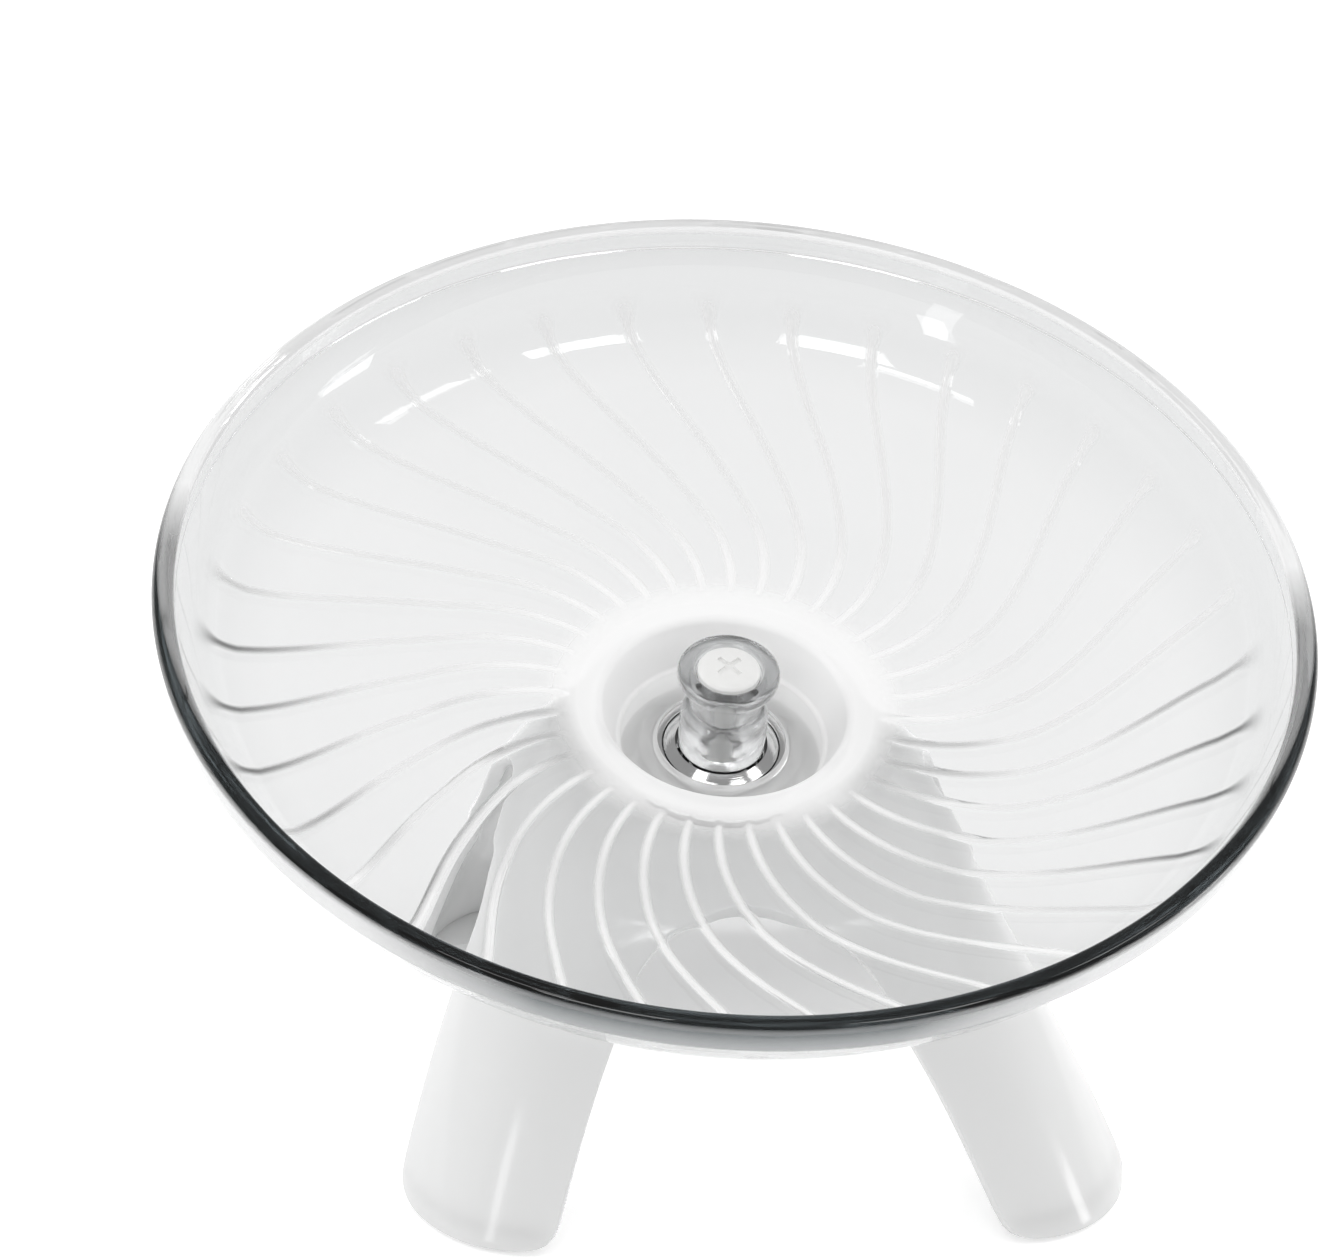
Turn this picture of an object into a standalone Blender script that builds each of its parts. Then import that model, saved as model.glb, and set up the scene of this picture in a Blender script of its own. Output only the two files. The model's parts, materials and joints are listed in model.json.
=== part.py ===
# Small animal exercise wheel: a clear saucer dish that spins on a ball bearing over a
# hollow four-legged stand. Metres, +Z up. The origin is on the ground under the middle of
# the whole object, and the low side of the tilted dish faces -Y.
import bpy
import bmesh
from math import asin, atan2, cos, pi, radians, sin, sqrt, tau
from mathutils import Matrix, Vector

# Overall layout
pivotHeight = 0.0607
hubShift = 0.0056
dishTilt = radians(21)
pivotDepth = 0.0105
seatGap = 0.0003
raceGap = 0.0002

# Saucer dish
dishRadius = 0.090
dishWall = 0.0020
rimTop = 0.0260
rimBandHeight = 0.0056
rimBandStep = 0.0013
rimDraft = 0.0006
rimRound = 0.0009
rimWidth = 0.0026
wallSpan = 0.0104
wallFootHeight = 0.0090
wallTopHeight = 0.0235
wallBulgeShare = (0.72, 0.31)
flatShare = 0.6234
slopePower = 1.35

# Ribs on the running surface
ribCount = 36
ribStart = 0.0225
ribEndInset = 0.0050
ribWidth = 0.0016
ribHeight = 0.0009
ribEase = 0.0020
ribLead = radians(-27.6)
ribSweep = radians(25)
swirlStart = 0.0270
swirlEndInset = 0.0060
swirlPower = 0.93
floorRowShares = (0.04, 0.12, 0.22, 0.34, 0.48, 0.62, 0.76, 0.88, 1.0)
wallRows = 4

# Centre well and bearing pocket of the dish
wellRadius = 0.0170
wellDepth = 0.0076
wellDraft = 0.0006
wellFillet = 0.0010
wellLipHeight = 0.0015
wellLipWidth = 0.0040
pocketWall = 0.0020
pocketLip = 0.0009
pocketLipThickness = 0.0010
pocketOverrun = 0.0024

# Ball bearing
bearingRadius = 0.0110
bearingBore = 0.0040
bearingWidth = 0.0070
raceWall = 0.0016
innerRaceWall = 0.0020
ballRadius = 0.0018
ballCount = 7
cageThickness = 0.0012
cageHeight = 0.0052
shieldBore = 0.0074
shieldThickness = 0.0005
shieldRecess = 0.0002
raceChamfer = 0.0003

# Retaining ring, thrust washer, axle cap and screw
retainerThickness = 0.0018
retainerInner = 0.0086
washerThickness = 0.0008
washerRadius = 0.0059
spigotRadius = 0.0038
bossRadius = 0.0062
capHeight = 0.0171
capFootRadius = 0.0069
capFootThickness = 0.0010
capSkirtRadius = 0.0058
capNeckRadius = 0.0068
capHeadRadius = 0.0081
capHeadThickness = 0.0030
capRound = 0.0008
screwHeadRadius = 0.0050
screwHeadHeight = 0.0021
screwCounterbore = 0.0016
screwShankRadius = 0.0016
screwLength = 0.0350
screwTip = 0.0020
crossLength = 0.0056
crossWidth = 0.0011
crossDepth = 0.0011
screwClearance = 0.0003

# Stand
standWall = 0.0024
cupClearance = 0.0023
cupDepth = 0.0080
cupFloorGap = 0.0014
cupRound = 0.0010
shoulderRadius = 0.0268
shoulderRound = 0.0025
legBulgeRadius = 0.0500
legBulgeHeight = 0.0480
footRadius = 0.0700
legHalfWidth = 0.0150
legEdgePull = 0.0041
legSplay = radians(4.7)
backSplayShare = 0.48
footLift = 0.0022
archTopShare = 0.145
archSpanShare = 0.36
legCount = 4
sectorColumns = 8
archRowShares = (0.0, 0.01, 0.035, 0.08, 0.15, 0.24, 0.35, 0.50, 0.67, 0.84, 1.0)
domeRowShares = (0.0, 0.5)
bossTail = 0.0030
ribPlateThickness = 0.0018
ribPlateReach = 0.0270
ribPlateDrop = 0.0070

# Foot plates and pads
padRadius = 0.0050
padHeight = 0.0018
padStandOff = 0.0008
footPlateThickness = 0.0020
footPlateDepth = 0.0125
footPlateTaper = 0.5

turnedSegments = 32
smallSegments = 20

# Radii that follow from the dish's own, so that a larger or smaller dish keeps its shape
rimInnerRadius = dishRadius - rimWidth
wallFootRadius = rimInnerRadius - wallSpan
flatRadius = wallFootRadius * flatShare
ribEnd = dishRadius - ribEndInset
swirlEnd = dishRadius - swirlEndInset

# Places that follow from the sizes above, measured along the dish axis from its floor
bearingTop = -(wellDepth + pocketLipThickness + raceGap)
bearingMiddle = bearingTop - bearingWidth / 2
bearingBottom = bearingTop - bearingWidth
pocketRadius = bearingRadius + raceGap
housingRadius = pocketRadius + pocketWall
housingBottom = bearingBottom - pocketOverrun
ballPitch = (bearingRadius - raceWall + bearingBore + innerRaceWall) / 2
washerTop = bearingBottom - seatGap
shoulderTop = washerTop - washerThickness - seatGap
cupFloor = housingBottom - cupFloorGap
cupRadius = housingRadius + cupClearance
cupRim = cupFloor + cupDepth
capBottom = bearingTop + seatGap
capTop = capBottom + capHeight
screwSeat = capTop - screwCounterbore + seatGap
screwEnd = screwSeat - screwLength
bossBottom = screwEnd - bossTail

# The rim's foremost and rearmost reach from the dish axis put the whole object over the origin
rimFront = dishRadius * cos(dishTilt) + (rimTop - rimRound) * sin(dishTilt)
rimBack = (dishRadius - rimDraft) * cos(dishTilt) - (rimTop - rimBandHeight + rimRound / 2) * sin(dishTilt)
dishAxis = Vector((0, -sin(dishTilt), cos(dishTilt)))
dishCentre = Vector((0, (rimFront - rimBack) / 2, pivotHeight + pivotDepth * dishAxis.z))
footCentre = Vector((hubShift, dishCentre.y - pivotDepth * dishAxis.y, 0))
tiltFrame = Matrix.Translation(dishCentre) @ Matrix.Rotation(dishTilt, 4, "X")


def clearScene():
    for item in list(bpy.data.objects):
        bpy.data.objects.remove(item, do_unlink=True)


def makeMaterial(name, colour, roughness, metallic=0.0, clear=0.0):
    material = bpy.data.materials.new(name)
    material.use_nodes = True
    shader = material.node_tree.nodes["Principled BSDF"]
    shader.inputs["Base Color"].default_value = (*colour, 1.0)
    shader.inputs["Roughness"].default_value = roughness
    shader.inputs["Metallic"].default_value = metallic
    shader.inputs["Transmission Weight"].default_value = clear
    material.diffuse_color = (*colour, 1.0)
    return material


def linkObject(name, mesh, material, parent=None):
    item = bpy.data.objects.new(name, mesh)
    bpy.context.scene.collection.objects.link(item)
    item.data.materials.append(material)
    item.parent = parent
    return item


def finishMesh(name, graph, sharpAngle=radians(35)):
    bmesh.ops.recalc_face_normals(graph, faces=graph.faces)
    mesh = bpy.data.meshes.new(name)
    graph.to_mesh(mesh)
    graph.free()
    mesh.shade_smooth()
    mesh.set_sharp_from_angle(angle=sharpAngle)
    return mesh


def addRing(graph, points):
    return [graph.verts.new(point) for point in points]


def bridgeRings(graph, first, second):
    # The longer ring has a whole number of points for each point of the shorter one
    if len(first) < len(second):
        first, second = second, first
    step = len(first) // len(second)
    for index, corner in enumerate(second):
        following = second[(index + 1) % len(second)]
        arc = [first[(index * step + offset) % len(first)] for offset in range(step + 1)]
        graph.faces.new(arc + [following, corner])


def circle(radius, height, count, lead=0.0):
    return [
        Vector((radius * cos(lead + tau * index / count), radius * sin(lead + tau * index / count), height))
        for index in range(count)
    ]


def turnedMesh(name, outline, segments=turnedSegments, closed=True):
    # Spins an outline of radius and height pairs; a radius of zero closes on the axis
    graph = bmesh.new()
    rings = []
    for radius, height in outline:
        points = [Vector((0, 0, height))] if radius == 0 else circle(radius, height, segments)
        rings.append(addRing(graph, points))
    pairs = list(zip(rings, rings[1:]))
    if closed:
        pairs.append((rings[-1], rings[0]))
    for upper, lower in pairs:
        if len(upper) == len(lower):
            bridgeRings(graph, upper, lower)
            continue
        tip, ring = (upper[0], lower) if len(upper) == 1 else (lower[0], upper)
        for index, corner in enumerate(ring):
            graph.faces.new((tip, corner, ring[(index + 1) % len(ring)]))
    return finishMesh(name, graph)


def addPrism(graph, outline, rise):
    lower = addRing(graph, outline)
    upper = addRing(graph, [point + rise for point in outline])
    bridgeRings(graph, lower, upper)
    graph.faces.new(lower)
    graph.faces.new(upper)


def addBoolean(target, tool, operation):
    tool.hide_render = True
    tool.display_type = "WIRE"
    modifier = target.modifiers.new(tool.name, "BOOLEAN")
    modifier.operation = operation
    modifier.object = tool


# Saucer dish

def smoothStep(value):
    value = min(max(value, 0.0), 1.0)
    return value * value * (3 - 2 * value)


def swirlAngle(radius):
    # Ribs leave the hub straight, sweep sideways over the floor and climb the wall straight
    share = min(max((radius - swirlStart) / (swirlEnd - swirlStart), 0.0), 1.0)
    return ribLead + ribSweep * smoothStep(share ** swirlPower)


def floorHeight(radius):
    share = max((radius - flatRadius) / (wallFootRadius - flatRadius), 0.0)
    return wallFootHeight * share ** slopePower


def wallPoint(share):
    # A quadratic curve from the foot of the wall up to the rim
    bulge = (
        wallFootRadius + wallBulgeShare[0] * (rimInnerRadius - wallFootRadius),
        wallFootHeight + wallBulgeShare[1] * (wallTopHeight - wallFootHeight),
    )
    weights = ((1 - share) ** 2, 2 * share * (1 - share), share ** 2)
    corners = ((wallFootRadius, wallFootHeight), bulge, (rimInnerRadius, wallTopHeight))
    return tuple(sum(weight * corner[axis] for weight, corner in zip(weights, corners)) for axis in (0, 1))


def runningProfile():
    span = wallFootRadius - ribStart
    floor = [(ribStart + share * span, floorHeight(ribStart + share * span)) for share in floorRowShares]
    wall = [wallPoint(row / wallRows) for row in range(1, wallRows + 1)]
    return [(ribStart, 0.0)] + floor + wall


def profileNormals(points):
    normals = []
    for index in range(len(points)):
        before = points[max(index - 1, 0)]
        after = points[min(index + 1, len(points) - 1)]
        run = (after[0] - before[0], after[1] - before[1])
        length = sqrt(run[0] ** 2 + run[1] ** 2)
        normals.append((-run[1] / length, run[0] / length))
    return normals


def ribShare(radius):
    # Ribs fade in at the hub and out under the rim
    rise = smoothStep((radius - ribStart) / ribEase)
    fall = smoothStep((ribEnd + ribEase - radius) / ribEase)
    return rise * fall


def ribbedRing(radius, height, normal):
    points = []
    crest = ribHeight * ribShare(radius)
    narrow = ribWidth / 2 / radius
    for rib in range(ribCount):
        middle = tau * rib / ribCount + swirlAngle(radius)
        for side in (-1, 0, 1):
            lift = crest if side == 0 else 0.0
            reach = radius + normal[0] * lift
            angle = middle + side * narrow
            points.append(Vector((reach * cos(angle), reach * sin(angle), height + normal[1] * lift)))
    return points


def rimOutline():
    outer = dishRadius
    top = rimTop
    bandBottom = rimTop - rimBandHeight
    return [
        (rimInnerRadius + rimRound / 3, top - rimRound),
        (rimInnerRadius + rimRound, top),
        (outer - rimRound, top),
        (outer, top - rimRound),
        (outer - rimDraft, bandBottom + rimRound / 2),
        (outer - rimDraft - rimRound / 2, bandBottom),
        (outer - rimBandStep, bandBottom),
    ]


def hubOutline():
    # From the first rib row inward over the lip, down the well, round the pocket and out below
    lipInner = pocketRadius - pocketLip
    wellTop = wellRadius + wellDraft
    return [
        (wellTop + wellLipWidth, wellLipHeight / 4),
        (wellTop + wellLipWidth / 2, wellLipHeight),
        (wellTop + wellFillet, wellLipHeight),
        (wellTop, wellLipHeight - wellFillet),
        (wellRadius, wellFillet - wellDepth),
        (wellRadius - wellFillet, -wellDepth),
        (lipInner, -wellDepth),
        (lipInner, -wellDepth - pocketLipThickness),
        (pocketRadius, -wellDepth - pocketLipThickness),
        (pocketRadius, housingBottom),
        (housingRadius, housingBottom),
        (housingRadius, -wellDepth - dishWall),
        (wellRadius + dishWall - wellFillet, -wellDepth - dishWall),
        (wellRadius + dishWall, wellFillet - wellDepth - dishWall),
        (wellTop + dishWall, -dishWall - wellFillet),
        (wellTop + dishWall + wellFillet, -dishWall),
    ]


def makeDish(parent):
    graph = bmesh.new()
    profile = runningProfile()
    normals = profileNormals(profile)
    columns = ribCount * 3
    rings = [
        addRing(graph, ribbedRing(radius, height, normal))
        for (radius, height), normal in zip(profile, normals)
    ]
    rimLead = swirlAngle(dishRadius) - tau / columns
    rings += [addRing(graph, circle(radius, height, columns, rimLead)) for radius, height in rimOutline()]
    for inner, outer in zip(rings, rings[1:]):
        bridgeRings(graph, inner, outer)
    below = [
        (radius - normal[0] * dishWall, height - normal[1] * dishWall)
        for (radius, height), normal in zip(profile, normals)
    ]
    below = [place for place in below[:-1] if place[1] < rimTop - rimBandHeight - dishWall]
    belowRings = [
        addRing(graph, circle(radius, height, ribCount, rimLead)) for radius, height in reversed(below)
    ]
    bridgeRings(graph, rings[-1], belowRings[0])
    for outer, inner in zip(belowRings, belowRings[1:]):
        bridgeRings(graph, outer, inner)
    hubLead = swirlAngle(ribStart) - ribWidth / 2 / ribStart
    hubRings = [addRing(graph, circle(radius, height, ribCount, hubLead)) for radius, height in hubOutline()]
    bridgeRings(graph, rings[0], hubRings[0])
    for outer, inner in zip(hubRings, hubRings[1:]):
        bridgeRings(graph, outer, inner)
    bridgeTurned(graph, belowRings[-1], hubRings[-1])
    mesh = finishMesh("saucer_dish", graph)
    clear = makeMaterial("clear_plastic", (0.93, 0.95, 0.96), 0.06, clear=1.0)
    return linkObject("saucer_dish", mesh, clear, parent)


def bridgeTurned(graph, outer, inner):
    # Joins two rings of one count whose starts are turned from each other
    count = len(outer)
    first = atan2(outer[0].co.y, outer[0].co.x)
    second = atan2(inner[0].co.y, inner[0].co.x)
    shift = round((first - second) / tau * count)
    turned = [inner[(index + shift) % count] for index in range(count)]
    bridgeRings(graph, outer, turned)


# Ball bearing

def grooveOutline(edge, side):
    # Points along a raceway groove cut into the face at the given radius
    groove = ballRadius + raceGap
    reach = abs(edge - ballPitch)
    opening = asin(sqrt(groove ** 2 - reach ** 2) / groove)
    steps = 4
    return [
        (ballPitch + side * groove * cos(angle), groove * sin(angle))
        for angle in (opening * (1 - 2 * step / steps) for step in range(steps + 1))
    ]


def lifted(outline, height):
    return [(radius, place + height) for radius, place in outline]


def makeRaces(parent):
    steel = makeMaterial("bearing_steel", (0.62, 0.63, 0.65), 0.18, 1.0)
    half = bearingWidth / 2
    outerFace = bearingRadius - raceWall
    innerFace = bearingBore + innerRaceWall
    outer = [
        (outerFace, half), (bearingRadius - raceChamfer, half), (bearingRadius, half - raceChamfer),
        (bearingRadius, raceChamfer - half), (bearingRadius - raceChamfer, -half), (outerFace, -half),
    ] + list(reversed(grooveOutline(outerFace, 1)))
    inner = [
        (innerFace, -half), (bearingBore + raceChamfer, -half), (bearingBore, raceChamfer - half),
        (bearingBore, half - raceChamfer), (bearingBore + raceChamfer, half), (innerFace, half),
    ] + grooveOutline(innerFace, -1)
    for name, outline in (("bearing_outer_race", outer), ("bearing_inner_race", inner)):
        linkObject(name, turnedMesh(name, lifted(outline, bearingMiddle)), steel, parent)


def makeBalls(parent):
    steel = makeMaterial("ball_steel", (0.70, 0.71, 0.73), 0.10, 1.0)
    graph = bmesh.new()
    bmesh.ops.create_icosphere(graph, subdivisions=2, radius=ballRadius)
    mesh = finishMesh("bearing_ball", graph, pi)
    mesh.materials.append(steel)
    for index in range(ballCount):
        angle = tau * index / ballCount
        ball = bpy.data.objects.new(f"bearing_ball_{index + 1}", mesh)
        bpy.context.scene.collection.objects.link(ball)
        ball.parent = parent
        ball.location = (ballPitch * cos(angle), ballPitch * sin(angle), bearingMiddle)


def makeCage(parent):
    plastic = makeMaterial("cage_plastic", (0.12, 0.12, 0.13), 0.45)
    inner = ballPitch - cageThickness / 2
    outer = ballPitch + cageThickness / 2
    half = cageHeight / 2
    outline = lifted([(inner, half), (outer, half), (outer, -half), (inner, -half)], bearingMiddle)
    cage = linkObject("bearing_cage", turnedMesh("bearing_cage", outline, ballCount * 4), plastic, parent)
    graph = bmesh.new()
    for index in range(ballCount):
        angle = tau * index / ballCount
        place = Matrix.Rotation(angle, 4, "Z") @ Matrix.Translation((ballPitch, 0, bearingMiddle))
        turned = place @ Matrix.Rotation(pi / 2, 4, "Y")
        bmesh.ops.create_cone(
            graph, cap_ends=True, segments=12, radius1=ballRadius + seatGap, radius2=ballRadius + seatGap,
            depth=cageThickness * 3, matrix=turned,
        )
    pockets = linkObject("cage_pockets", finishMesh("cage_pockets", graph), plastic, parent)
    addBoolean(cage, pockets, "DIFFERENCE")


def makeShields(parent):
    steel = makeMaterial("shield_steel", (0.66, 0.67, 0.69), 0.15, 1.0)
    outer = bearingRadius - raceWall - raceGap
    face = bearingWidth / 2 - shieldRecess
    for name, side in (("bearing_shield_top", 1), ("bearing_shield_bottom", -1)):
        near = bearingMiddle + side * face
        far = bearingMiddle + side * (face - shieldThickness)
        outline = [(shieldBore, near), (outer, near), (outer, far), (shieldBore, far)]
        linkObject(name, turnedMesh(name, outline), steel, parent)


def makeRetainer(parent):
    plastic = makeMaterial("retainer_plastic", (0.86, 0.87, 0.88), 0.3)
    top = bearingBottom - seatGap
    bottom = top - retainerThickness
    outer = pocketRadius - seatGap
    outline = [
        (retainerInner, top), (outer, top), (outer, bottom + raceChamfer),
        (outer - raceChamfer, bottom), (retainerInner, bottom),
    ]
    linkObject("bearing_retainer", turnedMesh("bearing_retainer", outline), plastic, parent)


# Axle parts

def makeWasher(parent):
    steel = makeMaterial("washer_steel", (0.55, 0.56, 0.58), 0.3, 1.0)
    hole = spigotRadius + seatGap
    bottom = washerTop - washerThickness
    outline = [(hole, washerTop), (washerRadius, washerTop), (washerRadius, bottom), (hole, bottom)]
    linkObject("thrust_washer", turnedMesh("thrust_washer", outline), steel, parent)


def makeCap(parent):
    clear = makeMaterial("cap_plastic", (0.90, 0.93, 0.94), 0.05, clear=1.0)
    bore = screwShankRadius + screwClearance
    recess = screwHeadRadius + screwClearance
    headBottom = capTop - capHeadThickness
    outline = [
        (bore, capBottom), (capFootRadius, capBottom), (capFootRadius, capBottom + capFootThickness),
        (capSkirtRadius, capBottom + capFootThickness * 3 / 2),
        (capNeckRadius, capBottom + (headBottom - capBottom) / 2), (capNeckRadius, headBottom),
        (capHeadRadius - capRound / 2, headBottom + capRound / 2), (capHeadRadius, headBottom + capRound * 2),
        (capHeadRadius - capRound / 2, capTop - capRound / 2), (capHeadRadius - capRound * 3 / 2, capTop),
        (recess, capTop), (recess, capTop - screwCounterbore), (bore, capTop - screwCounterbore),
    ]
    linkObject("axle_cap", turnedMesh("axle_cap", outline), clear, parent)


def makeScrew(parent):
    white = makeMaterial("screw_white", (0.90, 0.90, 0.89), 0.25)
    headTop = screwSeat + screwHeadHeight
    outline = [
        (0, headTop), (screwHeadRadius / 2, headTop - screwHeadHeight / 16),
        (screwHeadRadius - screwHeadHeight / 2, headTop - screwHeadHeight / 4),
        (screwHeadRadius, screwSeat + screwHeadHeight / 4), (screwHeadRadius, screwSeat),
        (screwShankRadius, screwSeat), (screwShankRadius, screwEnd + screwTip), (0, screwEnd),
    ]
    screw = linkObject("cap_screw", turnedMesh("cap_screw", outline, smallSegments, False), white, parent)
    reach = crossLength / 2
    half = crossWidth / 2
    corners = [(reach, -half), (reach, half), (half, half)]
    outline = [
        Matrix.Rotation(turn * pi / 2, 3, "Z") @ Vector((*corner, headTop - crossDepth))
        for turn in range(4) for corner in corners
    ]
    graph = bmesh.new()
    addPrism(graph, outline, Vector((0, 0, crossDepth * 2)))
    cross = linkObject("screw_cross", finishMesh("screw_cross", graph), white, parent)
    addBoolean(screw, cross, "DIFFERENCE")


# Stand

def tiltedPoint(radius, angle, height):
    return tiltFrame @ Vector((radius * cos(angle), radius * sin(angle), height))


def splayed(angle):
    # Turns places round the axle towards the back, so the front feet stand wider than the back ones
    return angle + legSplay * cos(angle) * (1 + backSplayShare * sin(angle))


def legPoint(share, angle, inset=0.0):
    # A quadratic curve from the tilted shoulder out and down to the level foot circle
    top = tiltedPoint(shoulderRadius - inset, angle, cupRim - inset)
    outward = Vector((cos(angle), sin(angle), 0))
    lean = Vector((-hubShift * legBulgeHeight / pivotHeight, 0, legBulgeHeight - inset))
    bulge = footCentre + lean + outward * (legBulgeRadius - inset)
    foot = footCentre + outward * (footRadius - inset) + Vector((0, 0, padStandOff))
    return top * (1 - share) ** 2 + bulge * 2 * share * (1 - share) + foot * share ** 2


def legHalfAngle(share, reach):
    # Whole sector above the arch, then the leg's own width, with a soft round arch between
    sector = pi / legCount
    if share <= archTopShare:
        return sector
    leg = asin(legHalfWidth / reach)
    opened = 1 - min((share - archTopShare) / archSpanShare, 1.0)
    return leg + (sector - leg) * (1 - sqrt(1 - opened ** 2))


def sectorPoint(share, side, legAngle, inset=0.0):
    reach = shoulderRadius + (footRadius - shoulderRadius) * share
    halfAngle = legHalfAngle(share, reach)
    point = legPoint(share, splayed(legAngle + side * halfAngle), inset)
    below = max(share - archTopShare, 0.0) / (1 - archTopShare)
    outward = legDirection(legAngle)
    point -= outward * legEdgePull * side ** 2 * smoothStep(below * 2)
    point.z += footLift * side ** 8 * share ** 8
    return point


def standRows():
    dome = [archTopShare * share for share in domeRowShares]
    return dome + [archTopShare + (1 - archTopShare) * share for share in archRowShares]


def legAngles():
    return [-pi / 2 + pi / legCount * (2 * index + 1) for index in range(legCount)]


def legDirection(legAngle):
    return Vector((cos(splayed(legAngle)), sin(splayed(legAngle)), 0))


def centreRings(inset):
    # Rings in the tilted frame: the axle spigot and cup outside, the boss and cup inside
    hole = screwShankRadius + screwClearance
    pilotBottom = screwEnd - screwClearance
    if inset == 0:
        spigotTop = bearingTop - seatGap
        return [
            (hole, pilotBottom), (hole, spigotTop), (spigotRadius, spigotTop), (spigotRadius, shoulderTop),
            (bossRadius, shoulderTop), (bossRadius, cupFloor), (cupRadius - cupRound, cupFloor),
            (cupRadius, cupFloor + cupRound), (cupRadius, cupRim - cupRound), (cupRadius + cupRound, cupRim),
            (shoulderRadius - shoulderRound, cupRim),
        ]
    return [
        (bossRadius - cupRound / 2, bossBottom), (bossRadius, bossBottom + cupRound / 2),
        (bossRadius, cupFloor - inset), (cupRadius + inset - cupRound, cupFloor - inset),
        (cupRadius + inset, cupFloor - inset + cupRound), (cupRadius + inset, cupRim - inset),
        (shoulderRadius - shoulderRound - inset / 2, cupRim - inset),
    ]


def standSurface(graph, inset):
    columns = legCount * sectorColumns
    lead = legAngles()[0] - pi / legCount
    turns = [splayed(lead + tau * index / columns) for index in range(columns)]
    rings = [
        addRing(graph, [tiltedPoint(radius, turn, height) for turn in turns])
        for radius, height in centreRings(inset)
    ]
    rows = standRows()
    domeCount = len(domeRowShares) + 1
    for share in rows[:domeCount]:
        ring = []
        for legAngle in legAngles():
            for column in range(sectorColumns):
                side = 2 * column / sectorColumns - 1
                ring.append(sectorPoint(share, side, legAngle, inset))
        rings.append(addRing(graph, ring))
    for inner, outer in zip(rings, rings[1:]):
        bridgeRings(graph, inner, outer)
    legs = []
    for leg, legAngle in enumerate(legAngles()):
        first = [rings[-1][(leg * sectorColumns + column) % columns] for column in range(sectorColumns + 1)]
        strips = [first]
        for share in rows[domeCount:]:
            sides = [2 * column / sectorColumns - 1 for column in range(sectorColumns + 1)]
            strips.append(addRing(graph, [sectorPoint(share, side, legAngle, inset) for side in sides]))
        for upper, lower in zip(strips, strips[1:]):
            for column in range(sectorColumns):
                graph.faces.new((upper[column], upper[column + 1], lower[column + 1], lower[column]))
        legs.append(strips)
    return rings[0], legs


def joinSurfaces(graph, outerLegs, innerLegs):
    # Closes each leg's two side edges and its foot between the outer and inner surface
    for outer, inner in zip(outerLegs, innerLegs):
        edges = [[(row[column], under[column]) for row, under in zip(outer, inner)] for column in (0, -1)]
        edges.append(list(zip(outer[-1], inner[-1])))
        for edge in edges:
            for (start, startUnder), (end, endUnder) in zip(edge, edge[1:]):
                graph.faces.new((start, end, endUnder, startUnder))


def makeStandShell(material):
    graph = bmesh.new()
    pilot, outerLegs = standSurface(graph, 0.0)
    boss, innerLegs = standSurface(graph, standWall)
    graph.faces.new(pilot)
    graph.faces.new(boss)
    joinSurfaces(graph, outerLegs, innerLegs)
    return linkObject("stand", finishMesh("stand", graph), material)


def makeFootPlates(stand, material):
    # Level plates across the hollow of each foot, one for each pad
    graph = bmesh.new()
    bottom = padHeight + seatGap
    middleRise = bottom + footPlateThickness / 2 - padStandOff
    plateShare = 1 - middleRise / 2 / (legBulgeHeight - padStandOff)
    for legAngle in legAngles():
        outward = legDirection(legAngle)
        outline = []
        for column in range(1, sectorColumns):
            side = 2 * column / sectorColumns - 1
            point = sectorPoint(plateShare, side, legAngle, standWall / 2)
            outline.append(Vector((point.x, point.y, bottom)))
        innerEdge = footCentre.dot(outward) + footRadius - footPlateDepth
        middle = (outline[0] + outline[-1]) / 2
        innerMiddle = middle - outward * (middle.dot(outward) - innerEdge)
        back = [innerMiddle + (corner - middle) * footPlateTaper for corner in (outline[-1], outline[0])]
        addPrism(graph, outline + back, Vector((0, 0, footPlateThickness)))
    plates = linkObject("foot_plates", finishMesh("foot_plates", graph), material)
    addBoolean(stand, plates, "UNION")


def makeBossRibs(stand, material):
    # Thin upright ribs under the dome, from the boss out to the shoulder above each leg
    graph = bmesh.new()
    ceiling = cupRim - standWall / 2
    floor = cupFloor - standWall / 2
    for legAngle in legAngles():
        outward = legDirection(legAngle)
        across = Vector((-outward.y, outward.x, 0)) * ribPlateThickness
        outline = [
            outward * bossRadius / 2 + Vector((0, 0, floor)),
            outward * cupRadius + Vector((0, 0, floor)),
            outward * (cupRadius + standWall / 2) + Vector((0, 0, ceiling)),
            outward * ribPlateReach + Vector((0, 0, ceiling)),
            outward * ribPlateReach + Vector((0, 0, ceiling - ribPlateDrop / 2)),
            outward * bossRadius / 2 + Vector((0, 0, bossBottom + bossTail)),
        ]
        addPrism(graph, [tiltFrame @ (point - across / 2) for point in outline], tiltFrame.to_3x3() @ across)
    ribs = linkObject("boss_ribs", finishMesh("boss_ribs", graph), material)
    addBoolean(stand, ribs, "UNION")


def makePads():
    rubber = makeMaterial("pad_rubber", (0.75, 0.77, 0.78), 0.6)
    outline = [
        (0, padHeight), (padRadius - raceChamfer, padHeight), (padRadius, padHeight - raceChamfer),
        (padRadius, raceChamfer), (padRadius - raceChamfer, 0), (0, 0),
    ]
    places = ("front_right", "back_right", "back_left", "front_left")
    for name, legAngle in zip(places, legAngles()):
        pad = linkObject(f"foot_pad_{name}", turnedMesh("foot_pad", outline, smallSegments, False), rubber)
        reach = footRadius - standWall - footPlateDepth / 2
        pad.location = footCentre + legDirection(legAngle) * reach


def makeStand():
    white = makeMaterial("stand_white", (0.86, 0.87, 0.87), 0.22)
    stand = makeStandShell(white)
    makeFootPlates(stand, white)
    makeBossRibs(stand, white)


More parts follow.
